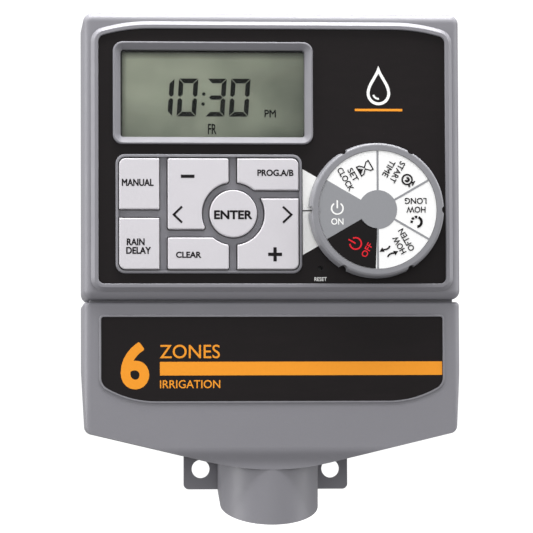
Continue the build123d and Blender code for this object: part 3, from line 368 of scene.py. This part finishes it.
def soft_rubber(name, colour):
    """Silicone or rubber: matte, dusty, slightly mottled."""
    shader = Shader(name, 0.62, 0.35)
    mottled = shader.noise(3.5, 4, 0.6)
    dust = shader.spread(shader.cells(1.4), 0.06, 0.02)
    tone = shader.mix(mottled, shade(colour, 0.9), shade(colour, 1.06))
    shader.colour(shader.mix(shader.maths("MULTIPLY", dust, 0.3), tone, srgb(210, 208, 204)))
    shader.raise_by(shader.noise(0.5, 3), 0.02)
    return shader.done()


def ribbed_ribbon(name, colour, pitch):
    """Ribbon cable: parallel cores seen through grey insulation."""
    shader = Shader(name, 0.45, 0.4)
    wave = shader.nodes.new("ShaderNodeTexWave")
    wave.bands_direction = "X"
    wave.inputs["Scale"].default_value = 0.314 / (pitch * MM)
    wave.inputs["Distortion"].default_value = 0.0
    shader.links.new(shader.place, wave.inputs["Vector"])
    tone = shader.mix(wave.outputs["Fac"], shade(colour, 0.62), shade(colour, 1.1))
    shader.colour(shader.mix(shader.spread(shader.noise(4, 3), 0.3, 0.7), tone, shade(colour, 0.95)))
    shader.raise_by(wave.outputs["Fac"], 0.18)
    return shader.done()


def battery_can(name):
    """Block battery: dark printed can with a copper band at the terminal end."""
    low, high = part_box("battery")
    shader = Shader(name, 0.34, 0.5)
    band = shader.spread(shader.axis("X"), low.x + 14.0 * MM, low.x + 14.2 * MM, 1.0, 0.0)
    scratched = shader.noise(1.6, 5, 0.7, shader.stretched((1, 1, 5)))
    body = shader.mix(shader.spread(scratched, 0.5, 0.8), srgb(30, 31, 34), srgb(66, 66, 70))
    shader.colour(shader.mix(band, body, srgb(196, 132, 82)))
    shader.feed(shader.bsdf.inputs["Metallic"], shader.maths("MULTIPLY", band, 0.8))
    shader.roughness(shader.spread(scratched, 0.3, 0.7, 0.26, 0.42))
    shader.raise_by(scratched, 0.012)
    return shader.done()


housing_grey = srgb(131, 130, 136)
materials = {
    "grey_housing": moulded_plastic("grey_housing", housing_grey),
    "grey_dial": moulded_plastic("grey_dial", srgb(135, 135, 140), 0.4, 0.4),
    "key_plastic": moulded_plastic("key_plastic", srgb(209, 206, 211), 0.4, 0.35, wear_and_highlight=False),
    "black_overlay": printed_film("black_overlay", srgb(25, 21, 22)),
    "clear_window": clear_window("clear_window"),
    "lcd_glass": display_glass("lcd_glass"),
    "dial_print": ink("dial_print", srgb(253, 253, 253)),
    "white_holder": moulded_plastic("white_holder", srgb(222, 220, 214), 0.5),
    "contact_rubber": soft_rubber("contact_rubber", srgb(150, 150, 156)),
    "keypad_silicone": soft_rubber("keypad_silicone", srgb(196, 194, 196)),
    "carbon_rubber": soft_rubber("carbon_rubber", srgb(34, 34, 36)),
    "black_plastic": moulded_plastic("black_plastic", srgb(36, 36, 38), 0.42),
    "contact_brass": metal("contact_brass", srgb(212, 176, 108), 0.26),
    "circuit_board": circuit_board("circuit_board"),
    "tinned_metal": metal("tinned_metal", srgb(205, 205, 208), 0.28),
    "screw_steel": metal("screw_steel", srgb(186, 188, 192), 0.34, (8, 1, 1)),
    "capacitor_sleeve": moulded_plastic("capacitor_sleeve", srgb(38, 44, 74), 0.3),
    "terminal_green": moulded_plastic("terminal_green", srgb(44, 126, 84), 0.42),
    "varistor_blue": moulded_plastic("varistor_blue", srgb(52, 92, 160), 0.34),
    "battery_case": battery_can("battery_case"),
    "lead_insulation": soft_rubber("lead_insulation", srgb(164, 30, 32)),
    "ribbon_grey": ribbed_ribbon("ribbon_grey", srgb(150, 150, 156), 1.27),
}
inks = {
    "white": ink("white_ink", srgb(254, 254, 252)),
    "grey": ink("grey_ink", srgb(149, 150, 154)),
    "black": ink("black_ink", srgb(20, 17, 18), 0.15),
    "red": ink("red_ink", srgb(229, 34, 48)),
    "orange": ink("orange_ink", srgb(250, 160, 46)),
    "legend": ink("legend_ink", srgb(22, 18, 22), 0.12),
    "segment": ink("segment_ink", srgb(12, 14, 13), 0.1),
}

for part in frame["record"]["subparts"]:
    node = frame["nodes"][part["node"]]
    node.data.materials.clear()
    node.data.materials.append(materials[part["material_slot"]])


# ------------------------------------------------------------------ flat artwork
PRINT_THICKNESS = 0.045


def arc(centre, radius, start, end, steps=48):
    """Points along a circular arc; angles in degrees, anticlockwise positive."""
    turns = [math.radians(start + (end - start) * n / steps) for n in range(steps + 1)]
    return [(centre[0] + radius * math.cos(t), centre[1] + radius * math.sin(t)) for t in turns]


def ring(centre, radius, steps=64):
    """A closed circle."""
    return arc(centre, radius, 0, 360, steps)[:-1]


def bezier(p0, p1, p2, p3, steps=20):
    """Points along a cubic Bezier curve."""
    points = []
    for n in range(steps + 1):
        t = n / steps
        weights = ((1 - t) ** 3, 3 * t * (1 - t) ** 2, 3 * t * t * (1 - t), t ** 3)
        points.append(tuple(sum(w * p[k] for w, p in zip(weights, (p0, p1, p2, p3))) for k in (0, 1)))
    return points


def bar(x0, z0, x1, z1):
    """A rectangle given by two corners."""
    return [(x0, z0), (x1, z0), (x1, z1), (x0, z1)]


def stroke(points, width):
    """Outline of a line of constant width with mitred bends and square ends."""
    sides = []
    for n, point in enumerate(points):
        here = Vector(point)
        before = (here - Vector(points[n - 1])).normalized() if n else None
        after = (Vector(points[n + 1]) - here).normalized() if n + 1 < len(points) else None
        along = (before + after).normalized() if before and after else (before or after)
        across = Vector((-along.y, along.x))
        lean = across.dot(Vector((-after.y, after.x))) if after and before else 1.0
        reach = across * width / 2 / max(lean, 0.35)
        sides.append((here + reach, here - reach))
    return [tuple(left) for left, _ in sides] + [tuple(right) for _, right in reversed(sides)]


def closed_stroke(points, width):
    """A closed line of constant width as a run of four-cornered pieces."""
    count = len(points)
    sides = []
    for n, point in enumerate(points):
        here = Vector(point)
        before = (here - Vector(points[n - 1])).normalized()
        after = (Vector(points[(n + 1) % count]) - here).normalized()
        along = (before + after).normalized()
        across = Vector((-along.y, along.x))
        reach = across * width / 2 / max(across.dot(Vector((-after.y, after.x))), 0.35)
        sides.append((here + reach, here - reach))
    pieces = []
    for n, (left, right) in enumerate(sides):
        next_left, next_right = sides[(n + 1) % count]
        pieces.append([tuple(right), tuple(next_right), tuple(next_left), tuple(left)])
    return pieces


def bold(pieces, weight):
    """Polygons thickened all round: a thin bar along every outline and a dot on every corner."""
    if weight <= 0:
        return pieces
    edges = {}
    for piece in pieces:
        for n, corner in enumerate(piece):
            ends = (corner, piece[(n + 1) % len(piece)])
            key = tuple(sorted((round(x, 5), round(z, 5)) for x, z in ends))
            edges.setdefault(key, []).append(ends)
    border = [ends[0] for ends in edges.values() if len(ends) == 1]
    extra = []
    for first, second in border:
        if (Vector(first) - Vector(second)).length > 1e-4:
            extra.append(stroke([first, second], 2 * weight))
            extra.append(ring(first, weight * 1.02, 8))
    return pieces + extra


def encloses(piece, x, z):
    """Whether a point lies inside a polygon."""
    inside = False
    for (x0, z0), (x1, z1) in zip(piece, piece[1:] + piece[:1]):
        if (z0 > z) != (z1 > z) and x < x0 + (z - z0) * (x1 - x0) / (z1 - z0):
            inside = not inside
    return inside


def box_spans(pieces):
    """Low x, low z, high x and high z of every polygon."""
    return numpy.array([[pick(axis) for pick in (min, max) for axis in zip(*piece)] for piece in pieces])


def touching_groups(pieces):
    """Polygons sorted into groups whose boxes touch, such as the strokes of one letter."""
    spans = box_spans(pieces)
    free = numpy.ones(len(pieces), bool)
    groups = []
    while free.any():
        reached = [int(numpy.flatnonzero(free)[0])]
        free[reached[0]] = False
        for here in reached:
            low_x, low_z, high_x, high_z = spans[here]
            beside = (spans[:, 0] <= high_x) & (spans[:, 2] >= low_x)
            level = (spans[:, 1] <= high_z) & (spans[:, 3] >= low_z)
            found = free & beside & level
            free[found] = False
            reached += numpy.flatnonzero(found).tolist()
        groups.append([pieces[index] for index in sorted(reached)])
    return groups


def add_merged_faces(solid, pieces):
    """Triangles that cover a group of overlapping polygons exactly once."""
    coords, faces = [], []
    for piece in pieces:
        faces.append(list(range(len(coords), len(coords) + len(piece))))
        coords += [Vector(corner) for corner in piece]
    points, _, triangles, _, _, _ = delaunay_2d_cdt(coords, [], faces, 0, 1e-5)
    spans = box_spans(pieces)
    flat = [solid.verts.new((point.x, point.y, 0.5)) for point in points]
    for triangle in triangles:
        x, z = sum((points[index] for index in triangle), Vector((0, 0))) / 3
        close = (spans[:, 0] <= x) & (spans[:, 1] <= z) & (spans[:, 2] >= x) & (spans[:, 3] >= z)
        if any(encloses(pieces[index], x, z) for index in numpy.flatnonzero(close)):
            solid.faces.new([flat[index] for index in triangle])


def merged(pieces):
    """One closed mesh, one unit thick, from overlapping polygons in front view."""
    solid = bmesh.new()
    for group in touching_groups(pieces):
        add_merged_faces(solid, group)
    bmesh.ops.delete(solid, geom=[v for v in solid.verts if not v.link_faces], context="VERTS")
    top = bmesh.ops.extrude_face_region(solid, geom=solid.faces[:])
    for vert in top["geom"]:
        if isinstance(vert, bmesh.types.BMVert):
            vert.co.z = -0.5
    bmesh.ops.recalc_face_normals(solid, faces=solid.faces)
    mesh = bpy.data.meshes.new("artwork")
    solid.to_mesh(mesh)
    solid.free()
    return mesh


def letter_shapes(text, x_span, z_span, weight=0.0):
    """Lettering as triangles, stretched to fill a box; weight thickens the strokes."""
    curve = bpy.data.curves.new("artwork", "FONT")
    curve.body = text
    curve.resolution_u = 5
    holder = bpy.data.objects.new("artwork", curve)
    bpy.context.scene.collection.objects.link(holder)
    bpy.context.view_layer.update()
    mesh = bpy.data.meshes.new_from_object(holder.evaluated_get(bpy.context.evaluated_depsgraph_get()))
    bpy.data.objects.remove(holder)
    bpy.data.curves.remove(curve)
    xs = [v.co.x for v in mesh.vertices]
    ys = [v.co.y for v in mesh.vertices]
    grow_x = (x_span[1] - x_span[0] - 2 * weight) / (max(xs) - min(xs))
    grow_z = (z_span[1] - z_span[0] - 2 * weight) / (max(ys) - min(ys))
    shapes = []
    for face in mesh.polygons:
        corners = [mesh.vertices[index].co for index in face.vertices]
        shapes.append([
            (x_span[0] + weight + (c.x - min(xs)) * grow_x, z_span[0] + weight + (c.y - min(ys)) * grow_z)
            for c in corners
        ])
    bpy.data.meshes.remove(mesh)
    return bold(shapes, weight)


def turned(pieces, centre, angle):
    """Polygons turned about the origin and then moved to centre."""
    cosine, sine = math.cos(math.radians(angle)), math.sin(math.radians(angle))
    return [
        [(centre[0] + x * cosine - z * sine, centre[1] + x * sine + z * cosine) for x, z in piece]
        for piece in pieces
    ]


def print_on(name, pieces, depth, body, material, thickness=PRINT_THICKNESS):
    """One printed piece at a depth in front of the wall, made of polygons in front view."""
    mesh = merged(pieces)
    lift = -(depth + thickness / 2) * MM
    upright = Matrix(((MM, 0, 0, 0), (0, 0, -thickness * MM, lift), (0, MM, 0, 0), (0, 0, 0, 1)))
    mesh.transform(upright)
    mesh.name = name
    mesh.materials.append(material)
    piece = bpy.data.objects.new(name, mesh)
    bpy.context.scene.collection.objects.link(piece)
    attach(piece, body)
    return piece


# ------------------------------------------------------------------ keypad legends
key_front = front_depth("enter_key")
legend_weight = 0.10
enter_weight = 0.17


def key_legend(name, body, pieces):
    """Black print on top of one key."""
    print_on(name, pieces, key_front, body, inks["legend"])


key_legend("manual_legend", "manual_button",
           letter_shapes("MANUAL", (-56.6, -44.7), (42.75, 45.45), legend_weight))
key_legend("rain_delay_legend", "rain_delay_button",
           letter_shapes("RAIN", (-54.8, -48.1), (20.55, 23.15), legend_weight)
           + letter_shapes("DELAY", (-55.0, -45.8), (17.35, 19.95), legend_weight))
key_legend("program_legend", "program_button",
           letter_shapes("PROG.A/B", (-5.8, 7.8), (46.6, 49.05), legend_weight))
key_legend("clear_legend", "clear_button",
           letter_shapes("CLEAR", (-36.4, -27.0), (15.85, 18.2), legend_weight))
key_legend("enter_legend", "enter_button", letter_shapes("ENTER", (-22.1, -7.8), (30.35, 33.7), enter_weight))
key_legend("minus_left_legend", "minus_left_button", [
    bar(-34.5, 45.85, -29.4, 47.05),
    stroke([(-34.1, 35.1), (-37.2, 32.1), (-34.1, 29.1)], 0.8),
])
key_legend("right_plus_legend", "right_plus_button", [
    stroke([(3.8, 35.1), (6.95, 32.1), (3.8, 29.1)], 0.8),
    bar(-1.85, 16.58, 3.35, 17.82),
    bar(0.13, 14.55, 1.37, 19.85),
])


# ------------------------------------------------------------------ display segments
def digit(shown, left, bottom, width, height, thick, slant):
    """Seven-segment digit with mitred bars; shown names the lit segments a to g."""
    gap = 0.2
    half = height / 2
    bars = {
        "a": [(gap, height), (width - gap, height), (width - thick - gap, height - thick),
              (thick + gap, height - thick)],
        "d": [(gap, 0), (thick + gap, thick), (width - thick - gap, thick), (width - gap, 0)],
        "g": [(thick * 0.5 + gap, half), (thick + gap * 0.5, half + thick * 0.46),
              (width - thick - gap * 0.5, half + thick * 0.46), (width - thick * 0.5 - gap, half),
              (width - thick - gap * 0.5, half - thick * 0.46), (thick + gap * 0.5, half - thick * 0.46)],
        "f": [(0, height - gap), (thick, height - thick - gap), (thick, half + thick * 0.5 + gap),
              (thick * 0.5, half + gap), (0, half + thick * 0.35 + gap)],
        "e": [(0, gap), (thick, thick + gap), (thick, half - thick * 0.5 - gap),
              (thick * 0.5, half - gap), (0, half - thick * 0.35 - gap)],
    }
    bars["b"] = [(width - x, z) for x, z in bars["f"]]
    bars["c"] = [(width - x, z) for x, z in bars["e"]]
    return [[(left + x + slant * z, bottom + z) for x, z in bars[name]] for name in shown]


panel_front = front_depth("lcd_panel")
digit_bottom, digit_height, digit_width = 69.5, 14.3, 7.3
segment_thickness, segment_slant = 1.75, 0.07
clock = []
for lit, left in (("bc", -44.75), ("abcdef", -35.75), ("abcdg", -25.05), ("abcdef", -16.05)):
    clock += digit(lit, left, digit_bottom, digit_width, digit_height, segment_thickness, segment_slant)
clock += [ring((-25.45, 77.95), 0.66, 24), ring((-25.75, 74.2), 0.66, 24)]
clock += letter_shapes("PM", (-2.55, 1.8), (69.2, 72.1), 0.07)
clock += letter_shapes("FR", (-23.95, -20.75), (62.8, 66.7), 0.07)
print_on("lcd_segments", clock, panel_front + 0.02, "casing", inks["segment"])


# ------------------------------------------------------------------ dial artwork
dial_x, dial_z = middle("dial_knob")
dial_centre = (dial_x, dial_z)
insert_low, insert_high = span_mm("dial_insert")
insert_r = (insert_high.z - insert_low.z) / 2
insert_front = front_depth("dial_insert")
hub_r = 7.3
divider = 0.75


def sector(start, end):
    """A slice of the dial from the hub to the rim of the insert."""
    return [arc((0, 0), insert_r - 0.05, start, end) + arc((0, 0), hub_r - 0.3, end, start, 16)]


def spoke(angle):
    """A dividing line between two slices."""
    outward = Vector((math.cos(math.radians(angle)), math.sin(math.radians(angle))))
    return [stroke([tuple(outward * (hub_r - 0.3)), tuple(outward * (insert_r - 0.08))], divider)]


def arc_stroke(centre, radius, start, end, width, steps=40):
    """A curved line made of short four-cornered pieces."""
    inner = arc(centre, radius - width / 2, start, end, steps)
    outer = arc(centre, radius + width / 2, start, end, steps)
    return [[inner[n], inner[n + 1], outer[n + 1], outer[n]] for n in range(steps)]


def power_sign(x, z, radius, width):
    """Broken ring with an upright bar."""
    upright = bar(x - width / 2, z + radius * 0.02, x + width / 2, z + radius * 1.42)
    return arc_stroke((x, z), radius, 124, 416, width) + [upright]


def hourglass(x, z):
    """Two end bars joined by a waisted glass, with sand in the lower half."""
    half, tall, line = 2.0, 2.75, 0.42
    left = [(x - half + 0.2, z + tall), (x - half + 0.2, z + 1.5), (x - 0.3, z), (x - half + 0.2, z - 1.5),
            (x - half + 0.2, z - tall)]
    right = [(2 * x - px, pz) for px, pz in left]
    sand = [(x - 1.2, z - 2.3), (x, z - 0.8), (x + 1.2, z - 2.3)]
    caps = [bar(x - half - 0.15, z + tall - line, x + half + 0.15, z + tall),
            bar(x - half - 0.15, z - tall, x + half + 0.15, z - tall + line)]
    return [stroke(left, line), stroke(right, line), sand] + caps


def stopwatch(x, z):
    """Ring, filled centre with a glint, crown and side button."""
    return arc_stroke((x, z), 1.85, 0, 360, 0.62) + arc_stroke((x, z), 0.62, -50, 230, 0.8, 24) + [
        bar(x - 0.35, z + 1.9, x + 0.35, z + 2.6),
        bar(x - 0.95, z + 2.5, x + 0.95, z + 3.0),
        stroke([(x + 1.3, z + 1.5), (x + 2.0, z + 2.2)], 0.7),
    ]


def broken_ring(x, z):
    """Ring whose last quarter breaks into dashes."""
    pieces = []
    for low, high in ((98, 248), (262, 290), (304, 332), (346, 372)):
        pieces += arc_stroke((x, z), 1.85, low, high, 0.95, 16)
    return pieces


def cycle_arrows(x, z):
    """Two curved arrows side by side, one up and one down."""
    pieces = []
    for side in (-1, 1):
        hub = (x + side * 3.3, z)
        first, last = (-40, 40) if side < 0 else (140, 220)
        pieces += arc_stroke(hub, 2.2, first, last, 0.6, 14)
        tip = arc(hub, 2.2, first, last, 1)[0]
        point = -1 if side < 0 else 1
        pieces.append([(tip[0] - 0.95, tip[1]), (tip[0] + 0.95, tip[1]), (tip[0], tip[1] + 1.7 * point)])
    return pieces


def words(*lines):
    """Centred lines of lettering, each (text, middle x, middle z, width, height)."""
    pieces = []
    for text, x, z, width, height in lines:
        pieces += letter_shapes(text, (x - width / 2, x + width / 2), (z - height / 2, z + height / 2), 0.045)
    return pieces


def on_dial(name, groups, depth, colour):
    """Print groups of (polygons, angle) on the insert, turned about the dial axis."""
    pieces = []
    for group, angle in groups:
        pieces += turned(group, dial_centre, angle)
    print_on(name, pieces, depth, "dial", inks[colour])


on_dial("dial_grey_fields", [
    ([ring((0, 0), hub_r)] + sector(150, 210), 0),
    (spoke(90) + spoke(30) + spoke(-30) + spoke(-90), 0),
], insert_front, "grey")
on_dial("dial_black_field", [(sector(210.05, 267.9), 0)], insert_front, "black")

legend_depth = insert_front + PRINT_THICKNESS
on_dial("dial_white_legend", [
    (power_sign(-15.2, 0.4, 2.15, 0.55) + words(("ON", -15.2, -4.5, 4.6, 2.4)), 0),
], legend_depth, "white")
on_dial("dial_red_legend", [
    (power_sign(-15.2, 0.9, 2.15, 0.55) + words(("OFF", -15.2, -4.0, 5.6, 2.3)), 60),
], legend_depth, "red")
on_dial("dial_black_legends", [
    (hourglass(-15.8, 3.6) + words(("SET", -15.9, -1.5, 5.2, 2.3), ("CLOCK", -15.9, -4.75, 9.4, 2.3)), -60),
    (stopwatch(-15.3, 4.0) + words(("START", -15.9, -0.55, 8.6, 2.3), ("TIME", -15.4, -4.0, 6.6, 2.3)), -120),
    (broken_ring(-14.6, 4.6) + words(("HOW", -14.4, 0.0, 7.2, 2.3), ("LONG", -14.3, -3.25, 8.2, 2.3)), -180),
    (cycle_arrows(-15.6, 4.3)
     + words(("HOW", -15.5, -0.3, 7.0, 2.3), ("OFTEN", -15.2, -3.6, 9.0, 2.3)), -240),
], legend_depth, "black")


# ------------------------------------------------------------------ overlay artwork
overlay_front = front_depth("front_overlay")
wedge_apex = (39.3, 33.2)
wedge_left = 11.35
wedge_half = (wedge_apex[0] - wedge_left) * math.tan(math.radians(30))
wedge = [(wedge_left, wedge_apex[1] - wedge_half), (wedge_left, wedge_apex[1] + wedge_half)]
wedge += arc(wedge_apex, 24.0, 150, 210, 24)
pointer_z = 33.7
print_on("pointer_field", [wedge], overlay_front, "casing", inks["white"])
print_on("pointer_line", [bar(wedge_left, pointer_z - 0.2, wedge_left + 8, pointer_z + 0.2)],
         overlay_front + PRINT_THICKNESS, "casing", inks["black"])
reset_x = middle("reset_plunger")[0]
print_on("reset_legend", letter_shapes("RESET", (reset_x - 2.3, reset_x + 2.3), (7.25, 8.7), 0.02),
         overlay_front, "casing", inks["white"])


def water_drop(x, z, radius):
    """Outline of a plain drop: a round bowl drawn up to a point."""
    tip = (x, z + radius * 2.3)
    left = bezier((x - radius, z), (x - radius, z + radius * 0.8), (x - radius * 0.3, z + radius * 1.5), tip)
    right = [(2 * x - px, pz) for px, pz in reversed(left)]
    return left[:-1] + right[:-1] + arc((x, z), radius, 0, -180, 32)[:-1]


drop_x, drop_z = 40.2, 78.0
print_on("drop_sign", closed_stroke(water_drop(drop_x, drop_z, 3.9), 1.1)
         + arc_stroke((drop_x, drop_z), 2.0, 195, 275, 0.7, 16),
         overlay_front, "casing", inks["white"])
print_on("drop_sign_line", [bar(drop_x - 9, 71.3, drop_x + 9, 72.2)],
         overlay_front, "casing", inks["orange"])


# ------------------------------------------------------------------ cover label artwork
label_front = front_depth("cover_label")
label_high = span_mm("cover_label")[1]
words_left = -42.3
number_weight = 0.75
band_low, band_high = -28.0, -22.9
print_on("zone_number", letter_shapes("6", (-57.0, -46.3), (-33.2, -15.6), number_weight),
         label_front, "cover", inks["orange"])
print_on("zone_band", [bar(words_left, band_low, label_high.x - 0.15, band_high)],
         label_front, "cover", inks["orange"])
print_on("zone_words", letter_shapes("ZONES", (words_left, -19.8), (-21.6, -16.5), 0.03)
         + letter_shapes("IRRIGATION", (words_left, -19.7), (-32.8, -29.75), 0.03),
         label_front, "cover", inks["orange"])


# ------------------------------------------------------------------ floor, light and camera
def seen_only_by_camera(nodes, links, strength):
    """A strength that counts for camera rays and is zero for all others."""
    path = nodes.new("ShaderNodeLightPath")
    product = nodes.new("ShaderNodeMath")
    product.operation = "MULTIPLY"
    links.new(path.outputs["Is Camera Ray"], product.inputs[0])
    if isinstance(strength, bpy.types.NodeSocket):
        links.new(strength, product.inputs[1])
    else:
        product.inputs[1].default_value = strength
    return product.outputs[0]


def stage_floor(top_m):
    """Pale floor below the wall-hung object that fades into the white surround."""
    shader = Shader("studio_floor", 0.8, 0.05)
    shader.colour(shader.mix(shader.noise(160, 3), (0.50, 0.50, 0.50, 1), (0.54, 0.54, 0.54, 1)))
    length = shader.nodes.new("ShaderNodeVectorMath")
    length.operation = "LENGTH"
    shader.links.new(shader.place, length.inputs[0])
    brightness = shader.spread(length.outputs["Value"], 0.15, 0.9, 0.85, 1.05)
    shader.bsdf.inputs["Emission Color"].default_value = (1, 1, 1, 1)
    seen_glow = seen_only_by_camera(shader.nodes, shader.links, brightness)
    shader.feed(shader.bsdf.inputs["Emission Strength"], seen_glow)
    mesh = bpy.data.meshes.new("studio_floor")
    reach = 6.0
    corners = [(-reach, -reach, 0), (reach, -reach, 0), (reach, reach, 0), (-reach, reach, 0)]
    mesh.from_pydata(corners, [], [(0, 1, 2, 3)])
    mesh.materials.append(shader.done())
    floor = bpy.data.objects.new("studio_floor", mesh)
    floor.location.z = top_m
    floor.visible_diffuse = False
    floor.visible_glossy = False
    floor.visible_shadow = False
    bpy.context.scene.collection.objects.link(floor)


def softbox(name, place, target, size, power):
    """Rectangular area light in metres and watts."""
    data = bpy.data.lights.new(name, "AREA")
    data.shape = "RECTANGLE"
    data.size, data.size_y = size
    data.energy = power
    lamp = bpy.data.objects.new(name, data)
    bpy.context.scene.collection.objects.link(lamp)
    lamp.location = place
    lamp.rotation_euler = (Vector(target) - Vector(place)).to_track_quat("-Z", "Y").to_euler()


def white_surround(seen, lit):
    """World that looks white to the camera and lights the object more softly."""
    world = bpy.data.worlds.new("surround")
    bpy.context.scene.world = world
    world.use_nodes = True
    nodes, links = world.node_tree.nodes, world.node_tree.links
    background = nodes["Background"]
    total = nodes.new("ShaderNodeMath")
    total.operation = "ADD"
    links.new(seen_only_by_camera(nodes, links, seen - lit), total.inputs[0])
    total.inputs[1].default_value = lit
    links.new(total.outputs[0], background.inputs["Strength"])
    background.inputs["Color"].default_value = (1, 1, 1, 1)


low_m, high_m = cad_box
object_middle = (low_m + high_m) / 2
# The floor lies below the lowest point the open terminal cover can slide down to.
floor_drop_m = 0.09
stage_floor(low_m.z - floor_drop_m)
white_surround(1.1, 0.42)
softbox("top_softbox", (0.0, -0.10, 1.25), object_middle, (1.3, 0.9), 55)
softbox("front_softbox", (-0.25, -2.3, 0.55), object_middle, (1.5, 1.2), 9)
for side, power in ((-1, 15), (1, 9)):
    softbox("side_softbox", (side * 1.3, -0.20, 0.25), object_middle, (0.8, 1.4), power)

# The camera stands left of the middle and a little low, far away on a long lens.
view_target = Vector((-2.35, -40.5, 12.72)) * MM
camera_place = Vector((-105.0, -1340.5, -52.1)) * MM
camera_data = bpy.data.cameras.new("camera")
camera_data.sensor_width = 36.0
camera_data.lens = 235.2
camera_data.clip_start = 0.05
camera_data.clip_end = 20
camera = bpy.data.objects.new("camera", camera_data)
bpy.context.scene.collection.objects.link(camera)
camera.location = camera_place
aim = (view_target - camera_place).to_track_quat("-Z", "Y").to_matrix()
camera.rotation_euler = (aim @ Matrix.Rotation(-0.0037, 3, "Z")).to_euler()
bpy.context.scene.camera = camera
bpy.context.scene.view_settings.view_transform = "Standard"

bpy.context.view_layer.update()
